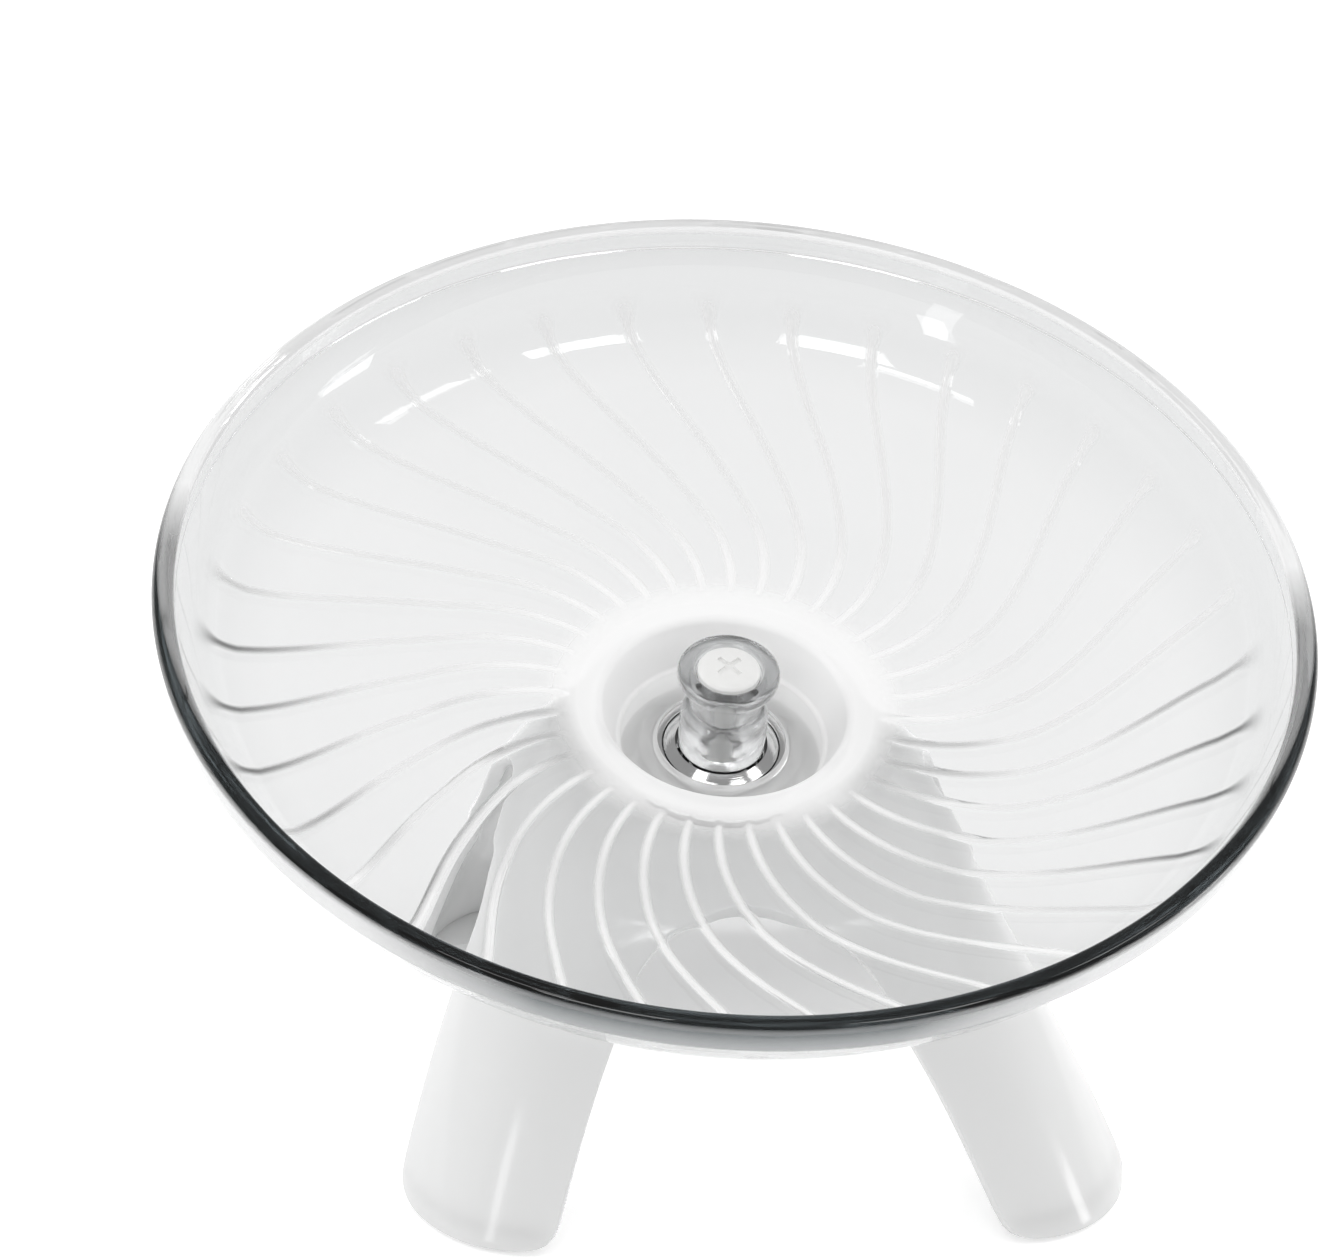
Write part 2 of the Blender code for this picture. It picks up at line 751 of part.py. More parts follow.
def makeWheel():
    clearScene()
    axisEmpty = bpy.data.objects.new("dish_axis", None)
    bpy.context.scene.collection.objects.link(axisEmpty)
    axisEmpty.matrix_world = tiltFrame
    makeDish(axisEmpty)
    makeRaces(axisEmpty)
    makeBalls(axisEmpty)
    makeCage(axisEmpty)
    makeShields(axisEmpty)
    makeRetainer(axisEmpty)
    makeWasher(axisEmpty)
    makeCap(axisEmpty)
    makeScrew(axisEmpty)
    makeStand()
    makePads()


makeWheel()
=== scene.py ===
# Looks of a small animal exercise wheel: a clear ribbed saucer dish over a white stand.
import json
from math import asin, atan2, cos, pi, radians, sin, sqrt, tau
import bpy
from mathutils import Matrix, Vector


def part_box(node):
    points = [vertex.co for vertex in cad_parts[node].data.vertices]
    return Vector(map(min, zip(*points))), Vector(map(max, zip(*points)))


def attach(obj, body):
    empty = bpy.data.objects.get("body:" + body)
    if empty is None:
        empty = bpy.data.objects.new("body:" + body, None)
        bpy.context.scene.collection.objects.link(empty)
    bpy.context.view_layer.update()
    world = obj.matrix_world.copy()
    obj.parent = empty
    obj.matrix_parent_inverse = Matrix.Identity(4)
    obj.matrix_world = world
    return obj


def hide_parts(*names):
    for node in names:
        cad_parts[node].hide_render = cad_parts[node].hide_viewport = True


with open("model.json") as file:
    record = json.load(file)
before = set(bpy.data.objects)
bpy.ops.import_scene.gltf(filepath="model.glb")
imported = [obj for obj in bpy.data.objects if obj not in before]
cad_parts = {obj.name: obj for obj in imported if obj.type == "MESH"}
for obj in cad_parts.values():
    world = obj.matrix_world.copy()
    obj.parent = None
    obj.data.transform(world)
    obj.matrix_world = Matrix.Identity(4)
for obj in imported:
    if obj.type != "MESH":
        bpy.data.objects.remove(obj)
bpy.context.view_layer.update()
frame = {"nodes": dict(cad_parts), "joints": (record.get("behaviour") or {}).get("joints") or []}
nodes = frame["nodes"]
print("frame loaded")

# Sizes are in metres. The dish turns on a tilted axle, and every turned piece is drawn upright
# round the dish's centre and then tilted with it
dishJoint = next(joint for joint in frame["joints"] if joint["name"] == "dish_spin")
dishCentre = Vector(dishJoint["pos_m"])
dishAxis = Vector(dishJoint["axis"]).normalized()
dishTilt = asin(-dishAxis.y)
tiltFrame = Matrix.Translation(dishCentre) @ Matrix.Rotation(dishTilt, 4, "X")


def smoothStep(value):
    value = min(max(value, 0.0), 1.0)
    return value * value * (3 - 2 * value)


# Modelling helpers

workshop = {
    "startSize": 0.01,  # of a new primitive, whose points are then put in their places
    "axisRadius": 0.00001,  # a turned outline keeps this far from its axis
    "mergeReach": 0.00001, "smoothAngle": radians(32),
    "edgePerFillet": 2.2,  # an edge is at least this many fillets long
}


def deselectAll():
    bpy.ops.object.select_all(action="DESELECT")


def editMode():
    bpy.ops.object.mode_set(mode="EDIT")


def objectMode():
    bpy.ops.object.mode_set(mode="OBJECT")


def pick(*pieces):
    # Selects these pieces alone, with the first one active
    deselectAll()
    for piece in pieces:
        piece.select_set(True)
    bpy.context.view_layer.objects.active = pieces[0]


def closeSeams(reach=workshop["mergeReach"]):
    # Merges doubled points, turns every face outwards and leaves edit mode
    bpy.ops.mesh.select_all(action="SELECT")
    bpy.ops.mesh.remove_doubles(threshold=reach)
    bpy.ops.mesh.normals_make_consistent(inside=False)
    objectMode()


def drawOutline(name, outline):
    # A chain of vertices in the XZ plane, extruded point by point and left in edit mode
    deselectAll()
    bpy.ops.mesh.primitive_plane_add(size=workshop["startSize"])
    piece = bpy.context.object
    piece.name = name
    editMode()
    bpy.ops.mesh.merge(type="CENTER")
    bpy.ops.transform.translate(value=(outline[0][0], 0, outline[0][1]))
    for (radius, height), (nextRadius, nextHeight) in zip(outline, outline[1:]):
        move = (nextRadius - radius, 0, nextHeight - height)
        bpy.ops.mesh.extrude_vertices_move(TRANSFORM_OT_translate={"value": move})
    return piece


def turnPiece(name, outline, steps):
    # Spins a closed outline of radius and height pairs round the Z axis; it stays upright at the origin
    piece = drawOutline(name, outline + outline[:1])
    bpy.ops.mesh.select_all(action="SELECT")
    bpy.ops.mesh.spin(steps=steps, angle=tau, center=(0, 0, 0), axis=(0, 0, 1))
    closeSeams()
    return piece


def extrudePlate(name, corners, move):
    # A flat outline of points in space, thickened by a move
    deselectAll()
    bpy.ops.mesh.primitive_circle_add(
        vertices=len(corners), radius=workshop["startSize"], fill_type="NGON"
    )
    piece = bpy.context.object
    piece.name = name
    for vertex, corner in zip(piece.data.vertices, corners):
        vertex.co = corner
    editMode()
    bpy.ops.mesh.select_all(action="SELECT")
    bpy.ops.mesh.extrude_region_move(TRANSFORM_OT_translate={"value": move})
    closeSeams()
    return piece


def roundEdges(piece, width, angle):
    edges = piece.modifiers.new("edges", "BEVEL")
    edges.width = width
    edges.segments = 2
    edges.limit_method = "ANGLE"
    edges.angle_limit = angle


def applyModifiers(piece):
    bpy.context.view_layer.objects.active = piece
    for modifier in list(piece.modifiers):
        bpy.ops.object.modifier_apply(modifier=modifier.name)


def shadeByAngle(piece, angle=workshop["smoothAngle"]):
    pick(piece)
    bpy.ops.object.shade_smooth_by_angle(angle=angle)


def tiltPiece(piece):
    pick(piece)
    piece.matrix_world = tiltFrame
    bpy.ops.object.transform_apply(location=True, rotation=True, scale=True)


def turnOnAxle(name, outline, steps):
    # A smooth turned piece, tilted with the axle
    piece = turnPiece(name, outline, steps)
    shadeByAngle(piece)
    tiltPiece(piece)
    return piece


def joinPieces(pieces):
    pick(*pieces)
    bpy.ops.object.join()
    return pieces[0]


def arcPoints(centre, radius, start, end, steps):
    # Points on an arc from one angle to another, in radius and height
    angles = [start + (end - start) * step / steps for step in range(steps + 1)]
    return [(centre[0] + radius * cos(angle), centre[1] + radius * sin(angle)) for angle in angles]


def roundedOutline(corners, fillet, steps=3):
    # A closed outline whose corners are rounded by a fillet
    points = []
    for index, corner in enumerate(corners):
        before = Vector(corners[index - 1])
        after = Vector(corners[(index + 1) % len(corners)])
        here = Vector(corner)
        shorter = min((before - here).length, (after - here).length)
        reach = min(fillet, shorter / workshop["edgePerFillet"])
        start = here + (before - here).normalized() * reach
        end = here + (after - here).normalized() * reach
        for step in range(steps + 1):
            share = step / steps
            point = start * (1 - share) ** 2 + here * 2 * share * (1 - share) + end * share ** 2
            points.append((point.x, point.y))
    return points


# Shader helpers

class Wire:
    # A node's output; sums written with it add Math nodes
    def __init__(self, graph, output):
        self.graph = graph
        self.output = output

    def math(self, operation, other, swapped=False):
        first, second = (other, self) if swapped else (self, other)
        return self.graph.add("ShaderNodeMath", {"operation": operation}, {0: first, 1: second})

    def __add__(self, other):
        return self.math("ADD", other)

    __radd__ = __add__

    def __sub__(self, other):
        return self.math("SUBTRACT", other)

    def __rsub__(self, other):
        return self.math("SUBTRACT", other, swapped=True)

    def __mul__(self, other):
        return self.math("MULTIPLY", other)

    __rmul__ = __mul__

    def __truediv__(self, other):
        return self.math("DIVIDE", other)


class Graph:
    # A node tree being built: every node comes from add(), and set() gives a socket its value or link
    def __init__(self, tree):
        self.tree = tree

    def add(self, kind, settings=None, inputs=None, output=0):
        node = self.tree.nodes.new(kind)
        for name, value in (settings or {}).items():
            setattr(node, name, value)
        for name, value in (inputs or {}).items():
            self.set(node, name, value)
        return Wire(self, node.outputs[output])

    def set(self, node, name, value):
        if isinstance(value, Wire):
            self.tree.links.new(value.output, node.inputs[name])
        else:
            node.inputs[name].default_value = value

    def lightPath(self, name):
        return self.add("ShaderNodeLightPath", output=name)

    def clamp(self, value):
        return self.add("ShaderNodeClamp", inputs={"Value": value})

    def rise(self, value, start, blend):
        # From 0 at the start to 1 where the blend ends
        return self.clamp((value - start) / blend)

    def fall(self, value, end, blend):
        # From 1 to 0 at the end
        return self.clamp((end - value) / blend)


class Finish(Graph):
    # A material being made round its Principled shader, whose output is body
    def __init__(self, name):
        self.material = bpy.data.materials.new(name)
        self.material.use_nodes = True
        super().__init__(self.material.node_tree)
        self.shader = self.tree.nodes["Principled BSDF"]
        self.out = self.tree.nodes["Material Output"]
        self.body = Wire(self, self.shader.outputs[0])

    def principled(self, **values):
        for name, value in values.items():
            self.set(self.shader, name.replace("_", " "), value)

    def objectPlace(self):
        return self.add("ShaderNodeTexCoord", output="Object")

    def dishPlace(self):
        # Object coordinates turned upright into the dish's own frame
        back = tiltFrame.inverted()
        return self.add(
            "ShaderNodeMapping",
            inputs={"Vector": self.objectPlace(), "Location": back.translation, "Rotation": back.to_euler()},
        )

    def stretch(self, place, scale):
        return self.add("ShaderNodeVectorMath", {"operation": "MULTIPLY"}, {0: place, 1: scale})

    def along(self, place, direction):
        # How far a place lies in a direction
        return self.add(
            "ShaderNodeVectorMath", {"operation": "DOT_PRODUCT"}, {0: place, 1: direction}, "Value"
        )

    def radiusOf(self, place):
        flat = self.stretch(place, (1.0, 1.0, 0.0))
        return self.add("ShaderNodeVectorMath", {"operation": "LENGTH"}, {0: flat}, "Value")

    def heightOf(self, place):
        return self.add("ShaderNodeSeparateXYZ", inputs={"Vector": place}, output="Z")

    def noise(self, place, scale, detail=3.0):
        return self.add("ShaderNodeTexNoise", inputs={"Vector": place, "Scale": scale, "Detail": detail})

    def between(self, factor, low, high):
        # A number that runs from low to high as the factor runs from 0 to 1
        return factor * (high - low) + low

    def mixColour(self, factor, first, second):
        return self.add("ShaderNodeMix", {"data_type": "RGBA"}, {0: factor, 6: first, 7: second}, 2)

    def mixShader(self, factor, first, second):
        return self.add("ShaderNodeMixShader", inputs={0: factor, 1: first, 2: second})

    def diffuse(self, tone):
        return self.add("ShaderNodeBsdfDiffuse", inputs={"Color": grey(tone)})

    def bump(self, height, strength, distance):
        bump = self.add(
            "ShaderNodeBump", inputs={"Height": height, "Strength": strength, "Distance": distance}
        )
        self.principled(Normal=bump)


def grey(value, tint=(1.0, 1.0, 1.0)):
    return (value * tint[0], value * tint[1], value * tint[2], 1.0)


clearLight = {"caughtAfter": 5.5}  # bounces


def letLampsThrough(finish, passed, body):
    # Lamps and soft light pass a clear wall, only dimmed, and so does light that is caught inside it
    caught = finish.lightPath("Ray Depth").math("GREATER_THAN", clearLight["caughtAfter"])
    lamps = finish.lightPath("Is Shadow Ray").math("MAXIMUM", finish.lightPath("Is Diffuse Ray"))
    veil = finish.add("ShaderNodeBsdfTransparent", inputs={"Color": grey(passed)})
    finish.set(finish.out, "Surface", finish.mixShader(lamps.math("MAXIMUM", caught), body, veil))


# Materials

clearFinish = {
    "pale": (0.870, 0.875, 0.876, 1.0), "clearest": (0.900, 0.903, 0.905, 1.0), "cloudScale": 45.0,
    "wallShade": (0.825, 0.831, 0.833, 1.0), "wallStart": 0.0720, "wallBlend": 0.0120,
    "hubGlowTone": 0.97, "hubEnd": 0.0290, "hubBlend": 0.0050,
    "haze": 0.012, "hazeScale": 25.0, "bend": 1.49, "lampsThrough": 0.95,
    # The rolled rim, its side painted near-black as painted shade, and painted sheen streaks in it
    "beadMiddle": 0.0882, "beadHalf": 0.0018, "beadFoot": 0.0246, "beadBlend": 0.0010,
    "darkSide": radians(-97), "darkStart": 0.33, "darkGrowth": 2.4, "darkBlend": 0.9,
    "darkEdgeGain": 6.0, "darkEdgeLift": 7.0,
    "rimShadeTone": (0.0006, 0.0009, 0.0010, 1.0), "sheenTone": (0.020, 0.028, 0.032, 1.0),
    "streakAcross": 1200.0, "streakAlong": 25.0, "streakLevel": 0.52, "streakGain": 5.0,
    # Painted shade on the rim's outer skirt on that side, darkest by the rim's band and lighter towards the
    # skirt's bottom
    "veil": (0.030, 0.036, 0.039, 1.0), "skirtShadeEdge": (0.24, 0.255, 0.26, 1.0),
    "skirtStart": 0.0889, "skirtBlend": 0.0002, "skirtSide": 0.0720,
    # Places painted white as highlights and glow, and the painted shade strokes in them
    "paintedLightTone": 0.98, "rimPaintedPale": 0.60, "strokeTone": 0.05,
    "strokeSide": (-0.014, 0.050), "strokeBlend": 0.014, "strokeStart": 0.054, "strokeLength": 0.024,
    "innerSide": (0.000, 0.019), "innerBlend": 0.005, "innerStart": 0.0235, "innerEnd": 0.052,
    "innerShade": 0.5, "backShade": 0.15, "hubClear": 0.032,
}


def clearToneWithPaintedLight(finish, place, radius):
    # Pale all over, with painted shade greyer up the wall and a painted glow nearly white round the hub
    cloud = finish.noise(place, clearFinish["cloudScale"])
    tone = finish.mixColour(cloud, clearFinish["pale"], clearFinish["clearest"])
    wallward = finish.rise(radius, clearFinish["wallStart"], clearFinish["wallBlend"])
    tone = finish.mixColour(wallward, tone, clearFinish["wallShade"])
    hubward = finish.fall(radius, clearFinish["hubEnd"], clearFinish["hubBlend"])
    return finish.mixColour(hubward, tone, grey(clearFinish["hubGlowTone"]))


def rimPaintedShade(finish, radius, towardDark, bandTop):
    # Painted shade: the rolled rim is painted near-black towards its low side, standing in for the dark
    # surroundings it refracts and reflects there
    outward = (radius - clearFinish["beadMiddle"]) / clearFinish["beadHalf"]
    growth = towardDark / clearFinish["beadMiddle"] * clearFinish["darkGrowth"]
    dark = growth + outward - clearFinish["darkStart"]
    dark = finish.clamp(dark / clearFinish["darkBlend"] + 0.5)
    edge = finish.clamp(outward * clearFinish["darkEdgeGain"] + clearFinish["darkEdgeLift"])
    return dark * bandTop * edge


def rimShadeAndSheen(finish, place, radius):
    # Painted sheen: fine lighter streaks that run round the rim's painted shade
    across = finish.add("ShaderNodeCombineXYZ", inputs={"Z": radius * clearFinish["streakAcross"]})
    stretched = finish.stretch(place, (clearFinish["streakAlong"],) * 3)
    grain = finish.add("ShaderNodeVectorMath", {"operation": "ADD"}, {0: stretched, 1: across})
    sheenStreaks = finish.noise(grain, 1.0, 2.0) - clearFinish["streakLevel"]
    sheenStreaks = finish.clamp(sheenStreaks * clearFinish["streakGain"])
    return finish.mixColour(sheenStreaks, clearFinish["rimShadeTone"], clearFinish["sheenTone"])


def ribPaintedShade(finish, radius, towardDark, bandTop):
    # Painted shade: rib ends near the rim's painted dark side are painted dark, standing in for the dark rim
    # they refract, and so are ribs by the hub and, faintly, all at the back
    low, high = clearFinish["strokeSide"]
    blend = clearFinish["strokeBlend"]
    facing = finish.fall(towardDark, high, blend)
    strokes = finish.rise(towardDark, low, blend) * facing
    strokes = strokes * finish.rise(radius, clearFinish["strokeStart"], clearFinish["strokeLength"])
    low, high = clearFinish["innerSide"]
    innerBlend = clearFinish["innerBlend"]
    inner = finish.rise(towardDark, low, innerBlend) * finish.fall(towardDark, high, innerBlend)
    inner = inner * finish.fall(radius, clearFinish["innerEnd"], blend)
    inner = inner * finish.rise(radius, clearFinish["innerStart"], innerBlend)
    strokes = strokes.math("MAXIMUM", inner * clearFinish["innerShade"])
    away = finish.rise(radius, clearFinish["hubClear"], blend) * facing
    return strokes.math("MAXIMUM", away * (1 - bandTop) * clearFinish["backShade"])


def clearPlastic():
    finish = Finish("clearDishPlastic")
    place = finish.dishPlace()
    radius = finish.radiusOf(place)
    height = finish.heightOf(place)
    side = clearFinish["darkSide"]
    towardDark = finish.along(place, (cos(side), sin(side), 0.0))
    bandTop = finish.rise(height, clearFinish["beadFoot"], clearFinish["beadBlend"])
    dark = rimPaintedShade(finish, radius, towardDark, bandTop)
    # The rim's painted shade and the skirt's painted shade go only on faces seen from outside
    outside = 1 - finish.add("ShaderNodeNewGeometry", output="Backfacing")
    # Painted shade on the outer skirt towards the low side
    skirt = finish.rise(radius, clearFinish["skirtStart"], clearFinish["skirtBlend"]) * outside
    skirt = skirt * finish.rise(towardDark, clearFinish["skirtSide"], clearFinish["strokeBlend"])
    depth = finish.rise(height, dish["rimBottom"], clearFinish["beadFoot"] - dish["rimBottom"])
    skirtShade = finish.mixColour(depth, clearFinish["skirtShadeEdge"], clearFinish["veil"])
    tone = finish.mixColour(skirt, clearToneWithPaintedLight(finish, place, radius), skirtShade)
    finish.principled(
        Base_Color=finish.mixColour(dark * outside, tone, rimShadeAndSheen(finish, place, radius)),
        Roughness=finish.noise(place, clearFinish["hazeScale"]) * clearFinish["haze"],
        IOR=clearFinish["bend"], Transmission_Weight=1.0,
    )
    # Painted light: white is painted on the rib crests as highlights, on the well's flare as a glow and on
    # the rim's top band away from its painted shade to pale it
    paintedLightShare = finish.add("ShaderNodeAttribute", {"attribute_name": "paintedLight"}, output="Fac")
    paintedLightShare = paintedLightShare.math("MAXIMUM", bandTop * (1 - dark) * clearFinish["rimPaintedPale"])
    strokes = ribPaintedShade(finish, radius, towardDark, bandTop)
    pale = finish.diffuse(clearFinish["paintedLightTone"])
    paintedLightAndShade = finish.mixShader(strokes, pale, finish.diffuse(clearFinish["strokeTone"]))
    letLampsThrough(finish, clearFinish["lampsThrough"], finish.mixShader(paintedLightShare, finish.body, paintedLightAndShade))
    return finish.material


capFinish = {
    "head": (0.40, 0.405, 0.41, 1.0), "headShadeLight": (0.55, 0.56, 0.565, 1.0), "cloudScale": 220.0,
    "neck": (0.86, 0.87, 0.875, 1.0), "headFoot": 0.0068, "headBlend": 0.0012,
    "roughness": (0.13, 0.22), "coat": 1.0, "coatRoughness": 0.02, "bend": 1.49, "lampsThrough": 0.85,
}


def capPlastic():
    finish = Finish("clearCapPlastic")
    place = finish.dishPlace()
    cloud = finish.noise(place, capFinish["cloudScale"])
    # Painted shade: the clear head is painted grey, standing in for the darker refraction seen through it,
    # while the neck stays pale
    head = finish.rise(finish.heightOf(place), capFinish["headFoot"], capFinish["headBlend"])
    headShade = finish.mixColour(cloud, capFinish["head"], capFinish["headShadeLight"])
    finish.principled(
        Base_Color=finish.mixColour(head, capFinish["neck"], headShade),
        Roughness=finish.between(cloud, *capFinish["roughness"]),
        IOR=capFinish["bend"], Transmission_Weight=1.0,
        Coat_Weight=capFinish["coat"], Coat_Roughness=capFinish["coatRoughness"],
    )
    letLampsThrough(finish, capFinish["lampsThrough"], finish.body)
    return finish.material


whiteFinish = {
    "shade": (0.745, 0.75, 0.75, 1.0), "light": (0.79, 0.792, 0.79, 1.0), "roughness": (0.12, 0.22),
    "depth": (0.004, 0.004, 0.004), "softness": 0.35, "coat": 0.40, "coatRoughness": 0.11,
    "flowScale": 14.0, "flowHeight": 4.0, "skinScale": 900.0, "skinHeight": 0.05, "bump": (0.1, 0.0003),
}


def whitePlastic():
    finish = Finish("glossWhitePlastic")
    place = finish.objectPlace()
    flow = finish.noise(place, whiteFinish["flowScale"], 2.0)
    skin = finish.noise(place, whiteFinish["skinScale"], 2.0)
    finish.principled(
        Base_Color=finish.mixColour(flow, whiteFinish["shade"], whiteFinish["light"]),
        Roughness=finish.between(flow, *whiteFinish["roughness"]),
        Subsurface_Weight=whiteFinish["softness"], Subsurface_Radius=whiteFinish["depth"],
        Subsurface_Scale=1.0,
        Coat_Weight=whiteFinish["coat"], Coat_Roughness=whiteFinish["coatRoughness"],
    )
    surface = flow * whiteFinish["flowHeight"] + skin * whiteFinish["skinHeight"]
    finish.bump(surface, *whiteFinish["bump"])
    return finish.material


screwFinish = {
    "shade": (0.84, 0.84, 0.83, 1.0), "light": (0.9, 0.9, 0.89, 1.0), "roughness": (0.25, 0.4),
    "grainScale": 700.0, "bump": (0.15, 0.0002),
}


def screwPlastic():
    finish = Finish("screwWhitePlastic")
    grain = finish.noise(finish.objectPlace(), screwFinish["grainScale"])
    finish.principled(
        Base_Color=finish.mixColour(grain, screwFinish["shade"], screwFinish["light"]),
        Roughness=finish.between(grain, *screwFinish["roughness"]),
    )
    finish.bump(grain, *screwFinish["bump"])
    return finish.material


steelFinish = {
    # Tone and roughness of each
    "polishedSteel": (0.80, 0.10), "shieldSteel": (0.80, 0.07), "washerSteel": (0.6, 0.25),
    "ringScale": 9000.0, "blotchScale": 400.0, "blotchShade": 0.9, "cool": (1.0, 1.005, 1.01),
    "roughnessShares": (0.7, 1.5), "bump": (0.08, 0.0001),
}


def steel(name):
    # Turned steel, with fine rings round the axle
    finish = Finish(name)
    tone, rough = steelFinish[name]
    place = finish.dishPlace()
    across = finish.radiusOf(place) * steelFinish["ringScale"]
    rings = finish.add("ShaderNodeTexNoise", {"noise_dimensions": "1D"}, {"W": across, "Scale": 1.0})
    blotch = finish.noise(place, steelFinish["blotchScale"])
    smoother, rougher = steelFinish["roughnessShares"]
    shade = grey(tone * steelFinish["blotchShade"])
    finish.principled(
        Base_Color=finish.mixColour(blotch, shade, grey(tone, steelFinish["cool"])),
        Roughness=finish.between(rings, rough * smoother, rough * rougher),
        Metallic=1.0,
    )
    finish.bump(rings, *steelFinish["bump"])
    return finish.material


mattFinish = {
    # Tone and roughness of each
    "retainerPlastic": (0.85, 0.35), "padRubber": (0.7, 0.6), "cagePlastic": (0.12, 0.45),
    "grainScale": 1200.0, "grainShade": 0.7, "roughnessShares": (0.8, 1.2), "bump": (0.2, 0.0002),
}


def mattPlastic(name):
    finish = Finish(name)
    tone, rough = mattFinish[name]
    grain = finish.noise(finish.objectPlace(), mattFinish["grainScale"])
    smoother, rougher = mattFinish["roughnessShares"]
    finish.principled(
        Base_Color=finish.mixColour(grain, grey(tone * mattFinish["grainShade"]), grey(tone)),
        Roughness=finish.between(grain, rough * smoother, rough * rougher),
    )
    finish.bump(grain, *mattFinish["bump"])
    return finish.material


# Saucer dish

dish = {
    "radius": 0.090, "wall": 0.0020, "rimTop": 0.0260, "rimBottom": 0.0204, "rimDraft": 0.0006,
    "rimInner": 0.0866, "rimFillet": 0.0011, "outerFilletShare": 1.3, "rimSteps": (5, 7, 3),
    "bandStep": 0.0013, "wallFoot": (0.0770, 0.0090), "wallBulge": (0.0845, 0.0135), "wallTop": 0.0235,
    "flat": 0.0480, "slopePower": 1.35, "floorRows": 44, "wallRows": 18,
    "ribs": 36, "sectorColumns": 14, "crestColumns": 4, "ribSupport": 1.2, "rowReach": 0.00003,
    "ribStart": 0.0235, "ribEnd": 0.0795, "ribEase": 0.0045,
    "ribHalfWidth": 0.00115, "ribHeight": 0.00016, "ribLead": radians(-27.6), "ribSweep": radians(25),
    "swirlStart": 0.0270, "swirlEnd": 0.0840, "swirlPower": 0.93,
    "well": 0.0171, "wellDepth": 0.0076, "flare": 0.0196, "lipRound": 0.0016, "underRound": 0.0020,
    "wellSteps": (4, 8, 6),
    "fillet": 0.0010, "pocketLip": 0.0103, "pocketLipThickness": 0.0010, "pocket": 0.0112,
    "housing": 0.0132, "housingBottom": -0.0182,
    "crestHighlight": 0.80, "wellFloorGlow": 0.30, "flareGlow": 0.90, "glowRise": 0.0014,
    "glowEnd": 0.0305, "glowFade": 0.0085, "glowReach": 0.0006, "smoothAngle": radians(38),
}


def floorHeight(radius):
    share = max((radius - dish["flat"]) / (dish["wallFoot"][0] - dish["flat"]), 0.0)
    return dish["wallFoot"][1] * share ** dish["slopePower"]


def swirlAngle(radius):
    # Where a rib stands at this radius, along its S-shaped curve
    share = (radius - dish["swirlStart"]) / (dish["swirlEnd"] - dish["swirlStart"])
    share = min(max(share, 0.0), 1.0)
    return dish["ribLead"] + dish["ribSweep"] * smoothStep(share ** dish["swirlPower"])


def wallCurve(share):
    # A point on the curve that runs from the wall's foot up to the rim
    corners = (dish["wallFoot"], dish["wallBulge"], (dish["rimInner"], dish["wallTop"]))
    weights = ((1 - share) ** 2, 2 * share * (1 - share), share ** 2)
    radius, height = (
        sum(weight * corner[axis] for weight, corner in zip(weights, corners)) for axis in (0, 1)
    )
    return radius, height


def runningSurface():
    span = dish["wallFoot"][0] - dish["ribStart"]
    rows = dish["floorRows"]
    floor = [dish["ribStart"] + span * row / rows for row in range(rows + 1)]
    wall = [wallCurve(row / dish["wallRows"]) for row in range(1, dish["wallRows"] + 1)]
    return [(radius, floorHeight(radius)) for radius in floor] + wall


def surfaceNormals(points):
    normals = []
    for index in range(len(points)):
        before = Vector(points[max(index - 1, 0)])
        after = Vector(points[min(index + 1, len(points) - 1)])
        run = (after - before).normalized()
        normals.append((-run.y, run.x))
    return normals


def rimOutline():
    top = dish["rimTop"]
    bottom = dish["rimBottom"]
    fillet = dish["rimFillet"]
    outer = dish["radius"]
    inner = dish["rimInner"]
    low = outer - dish["rimDraft"]
    wide = fillet * dish["outerFilletShare"]
    narrow = fillet / 2
    innerSteps, outerSteps, lowSteps = dish["rimSteps"]
    return (
        arcPoints((inner + fillet, top - fillet), fillet, pi, pi / 2, innerSteps)
        + arcPoints((outer - wide, top - wide), wide, pi / 2, 0, outerSteps)
        + arcPoints((low - narrow, bottom + narrow), narrow, 0, -pi / 2, lowSteps)
        + [(outer - dish["bandStep"], bottom)]
    )


def hubOutline():
    # From the running surface inward, down the flared well, round the pocket and out below
    well = dish["well"]
    wall = dish["wall"]
    depth = dish["wellDepth"]
    fillet = dish["fillet"]
    slope = atan2(depth, dish["flare"] - well)
    underLip = -depth - dish["pocketLipThickness"]
    lip = dish["lipRound"]
    lipCentre = (well + (lip + cos(slope) * (depth - lip)) / sin(slope), -lip)
    under = dish["underRound"]
    underReach = (under + wall + cos(slope) * (depth - wall - under)) / sin(slope)
    underCentre = (well + underReach, -wall - under)
    footCorner = (well - fillet, fillet - depth)
    footSteps, lipSteps, underSteps = dish["wellSteps"]
    wellFoot = arcPoints(footCorner, fillet, slope - pi / 2, -pi / 2, footSteps)
    pocket = [
        (dish["pocketLip"], -depth), (dish["pocketLip"], underLip), (dish["pocket"], underLip),
        (dish["pocket"], dish["housingBottom"]), (dish["housing"], dish["housingBottom"]),
        (dish["housing"], -depth - wall),
    ]
    below = arcPoints(footCorner, fillet + wall, -pi / 2, slope - pi / 2, footSteps)
    outside = arcPoints(underCentre, under, pi / 2 + slope, pi / 2, underSteps)
    flare = arcPoints(lipCentre, lip, pi / 2, pi / 2 + slope, lipSteps)
    return flare + wellFoot + pocket + below + outside


def dishOutline():
    top = runningSurface()
    normals = surfaceNormals(top)
    wall = dish["wall"]
    under = [
        (point[0] - normal[0] * wall, point[1] - normal[1] * wall) for point, normal in zip(top, normals)
    ]
    # The smooth underside needs only every other row, and it ends where it meets the rim's band
    under = [point for point in under[::2] if point[1] < dish["rimBottom"] - wall]
    return top, top + rimOutline() + under[::-1] + hubOutline()[::-1]


